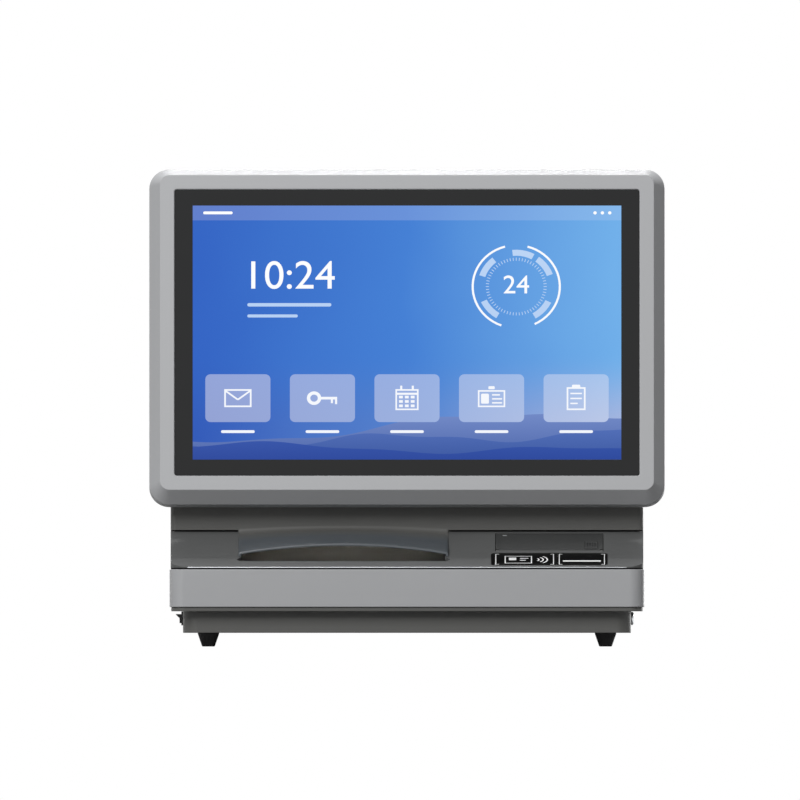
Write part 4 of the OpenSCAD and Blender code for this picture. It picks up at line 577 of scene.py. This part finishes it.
def screw_tree():
    """Screws on points: a pan head turned at random and a shank below it."""
    tree, size = grower("screw_set", {
        "Head": "Object", "Head Diameter": "Float", "Head Height": "Float", "Shank Diameter": "Float",
        "Shank Length": "Float", "Turn Seed": "Int", "Finish": "Material"})
    way = add(tree, "GeometryNodeInputNamedAttribute", {"Name": "facing"}, data_type="FLOAT_VECTOR")
    aim = add(tree, "FunctionNodeAlignRotationToVector", {"Vector": way.outputs[0]}, axis="Z")
    chance = add(tree, "FunctionNodeRandomValue", {2: 0.0, 3: math.tau, "Seed": size["Turn Seed"]},
                 data_type="FLOAT")
    spin = add(tree, "FunctionNodeAxisAngleToRotation", {"Axis": (0, 0, 1), "Angle": chance.outputs[1]})
    turn = add(tree, "FunctionNodeRotateRotation", {0: aim.outputs[0], 1: spin.outputs[0]},
               rotation_space="LOCAL")
    head = add(tree, "GeometryNodeObjectInfo", {"Object": size["Head"]})
    wide = add(tree, "ShaderNodeCombineXYZ", {
        "X": size["Head Diameter"], "Y": size["Head Diameter"], "Z": size["Head Height"]})
    heads = add(tree, "GeometryNodeInstanceOnPoints", {
        "Points": size["Geometry"], "Instance": head.outputs["Geometry"],
        "Rotation": turn.outputs[0], "Scale": wide.outputs[0]})
    radius = add(tree, "ShaderNodeMath", {0: size["Shank Diameter"], 1: 0.5}, operation="MULTIPLY")
    rod = add(tree, "GeometryNodeMeshCylinder", {
        "Vertices": 20, "Radius": radius.outputs[0], "Depth": size["Shank Length"]})
    half = add(tree, "ShaderNodeMath", {0: size["Shank Length"], 1: -0.5}, operation="MULTIPLY")
    drop = add(tree, "ShaderNodeCombineXYZ", {"Z": half.outputs[0]})
    hung = add(tree, "GeometryNodeTransform", {"Geometry": rod.outputs[0], "Translation": drop.outputs[0]})
    shanks = add(tree, "GeometryNodeInstanceOnPoints", {
        "Points": size["Geometry"], "Instance": hung.outputs[0], "Rotation": turn.outputs[0]})
    both = add(tree, "GeometryNodeJoinGeometry")
    for part in (heads, shanks):
        tree.links.new(part.outputs[0], both.inputs[0])
    return close_tree(tree, both.outputs[0], size["Finish"])


def row_tree():
    """Bars in a row from each point: contacts, blades and painted groove shadows."""
    tree, size = grower("bar_row", {
        "Count": "Int", "Step": "Vector", "Bar Size": "Vector", "Finish": "Material"})
    line = add(tree, "GeometryNodeMeshLine", {"Count": size["Count"], "Offset": size["Step"]},
               mode="OFFSET")
    rows = add(tree, "GeometryNodeInstanceOnPoints", {
        "Points": size["Geometry"], "Instance": line.outputs[0]})
    spots = add(tree, "GeometryNodeRealizeInstances", {"Geometry": rows.outputs[0]})
    bar = add(tree, "GeometryNodeMeshCube", {"Size": size["Bar Size"]})
    bars = add(tree, "GeometryNodeInstanceOnPoints", {
        "Points": spots.outputs[0], "Instance": bar.outputs[0]})
    return close_tree(tree, bars.outputs[0], size["Finish"])


def dial_tree():
    """Ticks round a circle, in the plane of x and y."""
    tree, size = grower("dial_ticks", {
        "Count": "Int", "Radius": "Float", "Tick Size": "Vector", "Finish": "Material"})
    hoop = add(tree, "GeometryNodeMeshCircle", {"Vertices": size["Count"], "Radius": size["Radius"]})
    spot = add(tree, "GeometryNodeInputPosition")
    aim = add(tree, "FunctionNodeAlignRotationToVector", {"Vector": spot.outputs[0]},
              axis="X", pivot_axis="Z")
    tick = add(tree, "GeometryNodeMeshCube", {"Size": size["Tick Size"]})
    ticks = add(tree, "GeometryNodeInstanceOnPoints", {
        "Points": hoop.outputs[0], "Instance": tick.outputs[0], "Rotation": aim.outputs[0]})
    return close_tree(tree, ticks.outputs[0], size["Finish"])


# Housings with softened edges: a node and the round of its edges in millimetres
for node, width in {
    "lower_tray": 0.6, "mid_frame": 0.8, "deck_shell": 0.2, "top_cover": 0.2, "front_bezel": 0.4,
    "rear_shell": 0.25, "printer_flap": 0.2, "open_button": 0.1, "feet": 0.8, "rocker_frame": 0.1,
    "rocker_paddle": 0.15, "stand_bracket": 0.3, "tilt_bracket": 0.5, "mains_inlet": 0.3,
    "card_window": 0.2, "start_bezel": 0.25, "start_cap": 0.2, "cable_gland": 0.4, "axle_nuts": 0.3,
}.items():
    soften(node, width)

# Screw head one across and one high: its half section, and the cross that is cut into it
HEAD_RIM = [(0.0, 0.0), (0.5, 0.0), (0.5, 0.45), (0.46, 0.68), (0.36, 0.87), (0.2, 0.97), (0.0, 1.0)]
HEAD_TURNS = 28
CROSS_ARM, CROSS_HALF = 0.24, 0.06
CROSS_FLOOR, CROSS_TOP = 0.4, 1.2
CROSS_FLOOR_SHARE, CROSS_TOP_SHARE = 0.55, 1.1
# Share of a head's radius that counts as its rim, and the end of a shank that shows its thickness
RIM_SHARE, SHANK_END = 0.95, 0.1


def pan_head():
    """Domed screw head with a cross recess, as a pattern for all the screws."""
    form = bmesh.new()
    chain = [form.verts.new((r, 0, z)) for r, z in HEAD_RIM]
    for a, b in zip(chain, chain[1:]):
        form.edges.new((a, b))
    bmesh.ops.spin(form, geom=form.verts[:] + form.edges[:], cent=(0, 0, 0), axis=(0, 0, 1),
                   angle=math.tau, steps=HEAD_TURNS)
    bmesh.ops.remove_doubles(form, verts=form.verts, dist=1e-5)
    bmesh.ops.recalc_face_normals(form, faces=form.faces)
    head = put("pan_head", mesh_from(form, "pan_head"))
    arm, half = CROSS_ARM, CROSS_HALF
    cross = [(arm, -half), (arm, half), (half, half), (half, arm), (-half, arm), (-half, half),
             (-arm, half), (-arm, -half), (-half, -half), (-half, -arm), (half, -arm), (half, -half)]
    form = bmesh.new()
    prism(form, [(x * CROSS_FLOOR_SHARE, y * CROSS_FLOOR_SHARE, CROSS_FLOOR) for x, y in cross],
          [(x * CROSS_TOP_SHARE, y * CROSS_TOP_SHARE, CROSS_TOP) for x, y in cross])
    bmesh.ops.recalc_face_normals(form, faces=form.faces)
    bit = put("cross_recess", mesh_from(form, "cross_recess"))
    cut = head.modifiers.new("recess", "BOOLEAN")
    cut.object = bit
    cut.solver = "EXACT"
    made = plain_mesh(head)
    bpy.data.objects.remove(bit)
    return put("pan_head_pattern", made)


def loose_parts(mesh):
    """Vertex places of each separate solid in a mesh."""
    form = merged(mesh)
    left, parts = set(form.verts), []
    while left:
        reach = [left.pop()]
        part = []
        while reach:
            vert = reach.pop()
            part.append(vert.co.copy())
            for link in vert.link_edges:
                other = link.other_vert(vert)
                if other in left:
                    left.remove(other)
                    reach.append(other)
        parts.append(part)
    form.free()
    return sorted(parts, key=lambda p: tuple(round(c, 4) for c in sum(p, Vector()) / len(p)))


def fit_screws(node, facing, name, seed):
    """Pan-head screws where a node has its screws, heads towards facing."""
    way = Vector(facing).normalized()
    steel = finish["screw_steel"]
    spots, size = [], {}
    for part in loose_parts(nodes[node].data):
        tops = [p.dot(way) for p in part]
        cap, tip = max(tops), min(tops)
        spread = [(p - way * p.dot(way)) for p in part]
        middle = Vector([(max(c) + min(c)) / 2 for c in zip(*spread)])
        axis = middle - way * middle.dot(way)
        radii = [(p - axis).length for p in spread]
        wide = max(radii)
        seat = min(t for t, r in zip(tops, radii) if r > RIM_SHARE * wide)
        thin = max(r for t, r in zip(tops, radii) if t < tip + SHANK_END * MM)
        size = {"Head Diameter": 2 * wide, "Head Height": cap - seat, "Shank Diameter": 2 * thin,
                "Shank Length": seat - tip}
        spots.append(axis + way * seat)
    size.update({"Head": head_pattern, "Turn Seed": seed, "Finish": steel})
    stand_for(grow(name, screws, size, spots, tuple(way)), name, steel, node)


# Screws
head_pattern = pan_head()
screws = screw_tree()
back_out = (0, math.cos(math.radians(FACE_LEAN)), -math.sin(math.radians(FACE_LEAN)))
fit_screws("shell_screws", back_out, "rear_shell_pan_screws", 3)
fit_screws("bracket_screws", back_out, "tilt_bracket_pan_screws", 5)
fit_screws("stand_screws", (0, 0, 1), "stand_pan_screws", 7)
fit_screws("case_screws", (0, 0, -1), "case_pan_screws", 11)
fit_screws("foot_screws", (0, 0, -1), "foot_pan_screws", 13)
bpy.data.objects.remove(head_pattern)

# Screen picture, in thin layers in front of the touch glass
LAYER = 0.08
SKY_LAYER, TILE_LAYER, MARK_LAYER = 0, 4, 5


def on_layer(x, v, layer):
    """Frame of a spot on the screen, in the middle of a layer."""
    return ON_FACE @ Matrix.Translation((x, v, -GLASS_IN + (layer + 0.5) * LAYER))


def screen_piece(name, outlines, layer, look):
    """Flat shapes on the screen, one thin layer above the last."""
    low = -GLASS_IN + layer * LAYER
    flat_piece(name, outlines, ON_FACE, low, low + LAYER, look, "display")


# Lit pixels: the sky as it is, and paled where a tile or the top strip lies over it
picture_look = picture("lit_panel_sky", 0.0)
tile_look = picture("lit_panel_tiles", 0.36)
strip_look = picture("lit_panel_strip", 0.12)
# Lit pixels of one tint: plain white and pale blue marks, and hills that deepen as they come near
white_look = lit("lit_panel_white", "#eef2fa", "#ffffff")
pale_look = lit("lit_panel_pale_blue", "#a9c4ee", "#bcd5f4")
far_wave = lit("lit_panel_far_wave", "#33529f", "#7a93cf", (170, 240))
mid_wave = lit("lit_panel_mid_wave", "#254896", "#5878c4", (170, 230))
near_wave = lit("lit_panel_near_wave", "#143a94", "#3459b2", (170, 215))

screen_piece("screen_sky", [pane(-PICTURE_W / 2, PICTURE_LOW, PICTURE_W / 2, PICTURE_HIGH)],
             SKY_LAYER, picture_look)

WAVE_STEPS = 60
RIPPLE_SHARE, RIPPLE_LENGTH = 0.35, 0.41


def wave(rise, swell, length, phase, lean):
    """Outline of a soft hill line across the foot of the picture."""
    crest = []
    for i in range(WAVE_STEPS + 1):
        x = PICTURE_W / 2 - PICTURE_W * i / WAVE_STEPS
        hill = math.sin(math.tau * x / length + phase)
        ripple = math.sin(math.tau * x / (RIPPLE_LENGTH * length) + 2 * phase)
        swing = hill + RIPPLE_SHARE * ripple
        crest.append((x, PICTURE_LOW + rise + swell * swing + lean * x / PICTURE_W))
    return [(-PICTURE_W / 2, PICTURE_LOW), (PICTURE_W / 2, PICTURE_LOW)] + crest


screen_piece("screen_wave_far", [wave(34, 6, 330, 0.6, 30)], SKY_LAYER + 1, far_wave)
screen_piece("screen_wave_mid", [wave(21, 5, 240, 2.2, 12)], SKY_LAYER + 2, mid_wave)
screen_piece("screen_wave_near", [wave(11, 4, 290, 4.4, -6)], SKY_LAYER + 3, near_wave)

TILE_W, TILE_STEP, TILE_R = 62.0, 80.5, 5.0
TILE_LOW, TILE_HIGH = 68.0, 116.0
tile_x = [TILE_STEP * (i - 2) for i in range(5)]
tiles = [pane(x - TILE_W / 2, TILE_LOW, x + TILE_W / 2, TILE_HIGH, TILE_R) for x in tile_x]
screen_piece("screen_tiles", tiles, TILE_LAYER, tile_look)

# Icons, each about the middle of its tile
letter = [pane_edge(-13, -9, 13, 9, 1.6), stroke(-12, 7.5, 0, -1.5, 1.6), stroke(0, -1.5, 12, 7.5, 1.6)]
key = [ring(-8, 0, 3.6, 6.8), [(-1.4, -1.3), (8, -1.3), (8, -5), (10, -5), (10, -1.3), (12, -1.3),
                               (12, -6), (14, -6), (14, 1.3), (-1.4, 1.3)]]
calendar = [pane_edge(-11, -12, 11, 9, 1.5), pane(-9.5, 3.4, 9.5, 5.4),
            pane(-6.5, 9, -4.5, 12.5), pane(4.5, 9, 6.5, 12.5)]
calendar += [pane(5.6 * c - 7.6, 4.4 * r - 9, 5.6 * c - 4, 4.4 * r - 6.4)
             for c in range(3) for r in range(3)]
badge = [pane_edge(-13, -9, 13, 8, 1.5), pane(-3, 9, 3, 12, 1.0), pane(-10, -5.5, -2.5, 4.5, 1.2)]
badge += [pane(0.5, 2.6 - 4 * k, 10 if k else 8, 4.0 - 4 * k) for k in range(3)]
clipboard = [pane_edge(-9, -12, 9, 11, 1.6), pane(-4, 9.4, 4, 13.5, 1.2)]
clipboard += [pane(-5.5, 4 - 5 * k, 5.5 if k < 2 else 1.5, 5.4 - 5 * k) for k in range(3)]

# Caption bars below the tiles
CAPTION_HALF, CAPTION_LOW, CAPTION_HIGH, CAPTION_R = 16, 57.0, 59.8, 1.3
tile_v = (TILE_LOW + TILE_HIGH) / 2
icons = [moved(outline, x, tile_v) for x, icon in zip(tile_x, (letter, key, calendar, badge, clipboard))
         for outline in icon]
icons += [pane(x - CAPTION_HALF, CAPTION_LOW, x + CAPTION_HALF, CAPTION_HIGH, CAPTION_R) for x in tile_x]
screen_piece("screen_tile_icons", icons, MARK_LAYER, white_look)


def figures(name, number, x, v, height):
    """A number on the screen as thin raised shapes."""
    curve = bpy.data.curves.new(name, "FONT")
    curve.body = number
    curve.size = height
    curve.align_x = "CENTER"
    curve.align_y = "CENTER"
    curve.extrude = LAYER / 2
    mesh = plain_mesh(put(name + "_type", curve))
    mesh.transform(on_layer(x, v, MARK_LAYER))
    piece_of(mesh, name, white_look, "display")


# Round gauge with a count in it: two thin arcs, five blocks and a ring of ticks
DIAL_X, DIAL_V = 104.0, 204.0
dial_arcs = [arc_band(DIAL_X, DIAL_V, 40.5, 42.5, start, stop) for start, stop in ((105, 250), (-65, 75))]
screen_piece("screen_dial_arcs", dial_arcs, MARK_LAYER, white_look)
dial_blocks = [arc_band(DIAL_X, DIAL_V, 31, 37, start, start + 34) for start in (20, 62, 128, 205, 300)]
screen_piece("screen_dial_blocks", dial_blocks, MARK_LAYER, pale_look)
ticks = grow("screen_dial_ticks", dial_tree(), {
    "Count": 60, "Radius": 27.5, "Tick Size": (3.0, 0.7, LAYER), "Finish": pale_look}, [(0, 0, 0)])
ticks.transform(on_layer(DIAL_X, DIAL_V, MARK_LAYER))
piece_of(ticks, "screen_dial_ticks", pale_look, "display")
figures("screen_dial_count", "24", DIAL_X, DIAL_V + 1, 26)

# Clock with two bars below it, and the strip along the top
figures("screen_clock", "10:24", -112, 214, 40)
clock_bars = [pane(-152, 184, -72, 187.4, 1.6), pane(-152, 173, -104, 176.0, 1.4)]
screen_piece("screen_clock_bars", clock_bars, MARK_LAYER, pale_look)
STRIP_LOW = 270.5
screen_piece("screen_top_strip", [pane(-PICTURE_W / 2, STRIP_LOW, PICTURE_W / 2, PICTURE_HIGH)],
             TILE_LAYER, strip_look)
strip_marks = [disc(x, 278, 1.6, 20) for x in (179, 186, 193)]
strip_marks += [pane(-194, 276.6, -166, 279.4, 1.3)]
screen_piece("screen_top_strip_marks", strip_marks, MARK_LAYER, white_look)

# Marks on the card window, in millimetres across the deck and up its lower slope
INK = 0.05
MARK_LOW, MARK_HIGH = 5.0, 35.5
BRACKET_ARM, BRACKET_W = 3, 0.8


def brackets(left, right):
    """Two square brackets that face each other."""
    marks = []
    low, high = MARK_LOW + BRACKET_W, MARK_HIGH - BRACKET_W
    for x, way in ((left, 1), (right, -1)):
        back, inside, tip = x - way * BRACKET_W / 2, x + way * BRACKET_W / 2, x + way * BRACKET_ARM
        marks += [[(back, MARK_LOW), (tip, MARK_LOW), (tip, low), (inside, low),
                   (inside, high), (tip, high), (tip, MARK_HIGH), (back, MARK_HIGH)]]
    return marks


window_marks = brackets(84.5, 139.5) + brackets(145.0, 188.0)
# A bar in the right place; a card outline with three blocks and three arcs in the left one
window_marks += [pane(148.5, 13.4, 184.5, 17.0)]
window_marks += [pane_edge(93, 8.5, 119, 29.5, 1.0)]
window_marks += [pane(97, 17.5, 104, 25, 0.8), pane(107.5, 22.0, 115.5, 23.6), pane(107.5, 16.5, 113, 18.1)]
window_marks += [arc_band(121, 19, r, r + 1.3, -48, 48) for r in (4.0, 8.0, 12.0)]
flat_piece("card_window_marks", window_marks, ON_LOWER, 0.0, INK, white_print, "base")

# Painted highlight along the deck's front edge: a thin bright bead that stands for the edge's highlight
BEAD_HALF, BEAD_R, BEAD_TAPER, BEAD_SIDES = 209.4, 0.45, 1.5, 12
BEAD_Y, BEAD_Z = -149.3, 75.3
# Places along one end of the bead, in tapers from its tip, and the share of its radius there
BEAD_END = ((0, 0.15), (0.3, 0.7), (1, 1.0))


def bead_mesh(name):
    """Round bar along x with rounded ends, in metres."""
    form = bmesh.new()
    stations = [(-BEAD_HALF + step * BEAD_TAPER, share) for step, share in BEAD_END]
    stations += [(-x, share) for x, share in stations[::-1]]
    turns = [math.tau * k / BEAD_SIDES for k in range(BEAD_SIDES)]
    hoops = []
    for x, share in stations:
        hoops.append([form.verts.new((x * MM, (BEAD_Y + BEAD_R * share * math.cos(t)) * MM,
                                      (BEAD_Z + BEAD_R * share * math.sin(t)) * MM)) for t in turns])
    for a, b in zip(hoops, hoops[1:]):
        walls(form, a, b)
    form.faces.new(hoops[0])
    form.faces.new(hoops[-1])
    bmesh.ops.recalc_face_normals(form, faces=form.faces)
    for face in form.faces:
        face.smooth = True
    return mesh_from(form, name)


piece_of(bead_mesh("deck_edge_bead"), "deck_edge_bead", painted_highlight_alloy, "base")

# Shadow lines in the grooves of the flap's push button, in millimetres on the upper slope
rows = row_tree()
GROOVE_N, GROOVE_STEP, GROOVE_W, GROOVE_L, GROOVE_T = 4, 2.4, 0.96, 8.2, 0.04
BUTTON_X, BUTTON_S, GROOVE_MID = 40.0, 15.0, 0.13
black = finish["black_abs"]
groove_shadows = grow("open_button_grooves", rows, {
    "Count": GROOVE_N, "Step": (GROOVE_STEP, 0, 0), "Bar Size": (GROOVE_W, GROOVE_L, GROOVE_T),
    "Finish": black}, [(BUTTON_X - GROOVE_STEP * (GROOVE_N - 1) / 2, BUTTON_S, GROOVE_MID)])
groove_shadows.transform(ON_UPPER)
piece_of(groove_shadows, "open_button_grooves", black, "flap_button")

# Foam strips in the gaps between the housings: black, as painted shade in the gaps
SEAL_IN, SEAL_T = 0.15, 0.9
DECK_HALF, DECK_FRONT, DECK_BACK, DECK_R = 225.0, -149.0, 149.0, 13.0
SEAL_STEPS = 8


def seal_path(inset, front):
    """The deck's outline, all round, or from a place on its right side round the back to its left."""
    half, back, r = DECK_HALF - inset, DECK_BACK - inset, DECK_R - inset
    if front is None:
        low = DECK_FRONT + inset
        start = [(0, low)] + arc_points(half - r, low + r, r, -90, 0, SEAL_STEPS)
    else:
        start = [(half, front)]
    right = start + arc_points(half - r, back - r, r, 0, 90, SEAL_STEPS) + [(0, back)]
    return right + [(-x, y) for x, y in right[::-1] if x]


def seal(name, low, high, front=None):
    """Strip of black foam just inside the deck's outline, as painted shade in the gap."""
    outer, inner = seal_path(SEAL_IN, front), seal_path(SEAL_IN + SEAL_T, front)
    outline = (outer, inner) if front is None else outer + inner[::-1]
    flat_piece(name, [outline], TO_METRES, low, high, foam_and_painted_gap_shade, "base")


seal("band_gap_gasket", 73.55, 74.95)
seal("roof_gap_gasket", 109.42, 110.82, -70.0)

# Contacts in the sockets at the back
PORT_Y = 149.4
USB_X, USB_STEP, USB_TONGUE_Z = -119.8, 19.0, 46.7
LAN_X, LAN_ROOF_Z = -41.025, 54.6
INLET_X, INLET_Y, INLET_Z = 150.025, 139.5, 52


def metres(x, y, z):
    """A place or size in millimetres, in metres."""
    return (x * MM, y * MM, z * MM)


def contact_row(name, count, step, bar, look, starts):
    """Contacts in a row along x from each start."""
    mesh = grow(name, rows, {
        "Count": count, "Step": metres(step, 0, 0), "Bar Size": metres(*bar), "Finish": look}, starts)
    piece_of(mesh, name, look, "base")


contact_row("usb_contacts", 4, 2.2, (1.0, 8.0, 0.2), gold_contact,
            [metres(USB_X + USB_STEP * k - 3.3, PORT_Y - 7.5, USB_TONGUE_Z - 0.05) for k in range(3)])
contact_row("lan_contacts", 8, 1.02, (0.45, 9.0, 0.4), gold_contact,
            [metres(LAN_X - 3.57, PORT_Y - 8, LAN_ROOF_Z - 0.2)])
contact_row("inlet_blades", 1, 0, (2.1, 14.0, 4.1), blade_nickel,
            [metres(INLET_X + x, INLET_Y, INLET_Z + z) for x, z in ((0, 2.6), (-7, -1.6), (7, -1.6))])

# Lights over the network socket, drawn on the back with x turned about
ON_BACK = TO_METRES @ Matrix(((-1, 0, 0, 0), (0, 0, 1, 0), (0, 1, 0, 0), (0, 0, 0, 1)))
PIPE_HALF, PIPE_LOW, PIPE_HIGH, PIPE_R = 1.6, 55.0, 56.3, 0.3
for name, side, look in (("lan_link_light", -5.2, green_pipe), ("lan_traffic_light", 5.2, amber_pipe)):
    middle = -LAN_X - side
    flat_piece(name, [pane(middle - PIPE_HALF, PIPE_LOW, middle + PIPE_HALF, PIPE_HIGH, PIPE_R)],
               ON_BACK, PORT_Y - 0.3, PORT_Y + 0.15, look, "base")

# Marks on the mains rocker: a bar on its lower face, a ring on the upper; for each the x and z of its
# middle and the way up its face
ROCKER_Y, MARK_SUNK = -70.0, -0.02
across = Vector((0, -1, 0))
for name, spot, up, marks in (
        ("rocker_on_mark", (-216.5, 24.7), (0, 1), [pane(-0.25, -1.1, 0.25, 1.1, 0.2)]),
        ("rocker_off_mark", (-218.5, 28.9), (-0.726, 0.688), [ring(0, 0, 0.7, 1.2)])):
    rise = Vector((up[0], 0, up[1])).normalized()
    turn = Matrix((across, rise, across.cross(rise))).transposed().to_4x4()
    face = Matrix.Translation(Vector((spot[0], ROCKER_Y, spot[1])) * MM) @ turn @ TO_METRES
    flat_piece(name, marks, face, MARK_SUNK, INK, white_print, "rocker")

# Floor, light and camera, in metres
FLOOR_HALF = 4
corners = [(x * FLOOR_HALF, y * FLOOR_HALF, 0) for x, y in ((-1, -1), (1, -1), (1, 1), (-1, 1))]
floor_mesh = bpy.data.meshes.new("floor")
floor_mesh.from_pydata(corners, [], [(0, 1, 2, 3)])
floor = put("floor", floor_mesh)


def direct_rays(tree):
    """One for what the camera, a reflection or clear glass sees, and none for scattered light."""
    path = add(tree, "ShaderNodeLightPath").outputs
    seen = add(tree, "ShaderNodeMath", {0: path["Is Camera Ray"], 1: path["Is Glossy Ray"]},
               operation="MAXIMUM")
    return add(tree, "ShaderNodeMath", {0: seen.outputs[0], 1: path["Is Transmission Ray"]},
               operation="MAXIMUM").outputs[0]


def floor_surface(tree, place):
    # Matt studio paper: pale, with a faint tooth; it throws little light back
    tooth = add(tree, "ShaderNodeTexNoise", {"Vector": place, "Scale": per(4), "Detail": 2.0})
    paper = add(tree, "ShaderNodeMix", {
        BY: tooth.outputs["Fac"], LOW: srgb("#f0f0f0"), HIGH: srgb("#f6f6f6")}, data_type="RGBA")
    tint = add(tree, "ShaderNodeMix", {
        BY: direct_rays(tree), LOW: srgb("#4a4a4a"), HIGH: paper.outputs[MIXED]}, data_type="RGBA")
    return {"Base Color": tint.outputs[MIXED], "Roughness": 0.9, "Specular IOR Level": 0.1}


floor_mesh.materials.append(material("pale_studio_paper", floor_surface))

world = bpy.data.worlds.new("studio")
scene.world = world
world.use_nodes = True
air = world.node_tree
air.nodes.clear()
dim = add(air, "ShaderNodeBackground", {"Color": srgb("#ffffff"), "Strength": 0.08})
white = add(air, "ShaderNodeBackground", {"Color": srgb("#ffffff"), "Strength": 1.0})
backdrop = add(air, "ShaderNodeMixShader", {0: direct_rays(air), 1: dim.outputs[0], 2: white.outputs[0]})
add(air, "ShaderNodeOutputWorld", {"Surface": backdrop.outputs[0]})

LAMP_AIM = Vector((0, 0, 0.22))


def lamp(name, place, size, power):
    """Softbox that looks at the product, its size across and up."""
    light = bpy.data.lights.new(name, "AREA")
    light.shape = "RECTANGLE"
    light.size, light.size_y = size
    light.energy = power
    turn = (LAMP_AIM - Vector(place)).to_track_quat("-Z", "Y").to_matrix().to_4x4()
    put(name, light).matrix_world = Matrix.Translation(place) @ turn


lamp("key_lamp", (-1.77, -4.38, 3.7), (2.2, 3.4), 350)
lamp("top_lamp", (0.0, 1.78, 5.2), (1.0, 0.7), 172)
lamp("rear_lamp", (0.0, 4.2, 2.0), (0.7, 1.2), 190)
lamp("side_lamp", (2.3, 3.9, 0.8), (1.0, 1.0), 110)

# Straight front view: 800 pixels of 0.952 mm
CAMERA_SPAN = 0.7616
CAMERA_PLACE = (-0.00666, -3.0, 0.2347)
eye = bpy.data.cameras.new("photo_camera")
eye.type = "ORTHO"
eye.ortho_scale = CAMERA_SPAN
camera = put("photo_camera", eye)
camera.location = CAMERA_PLACE
camera.rotation_euler = (math.radians(90), 0, 0)
scene.camera = camera
scene.view_settings.view_transform = "Standard"
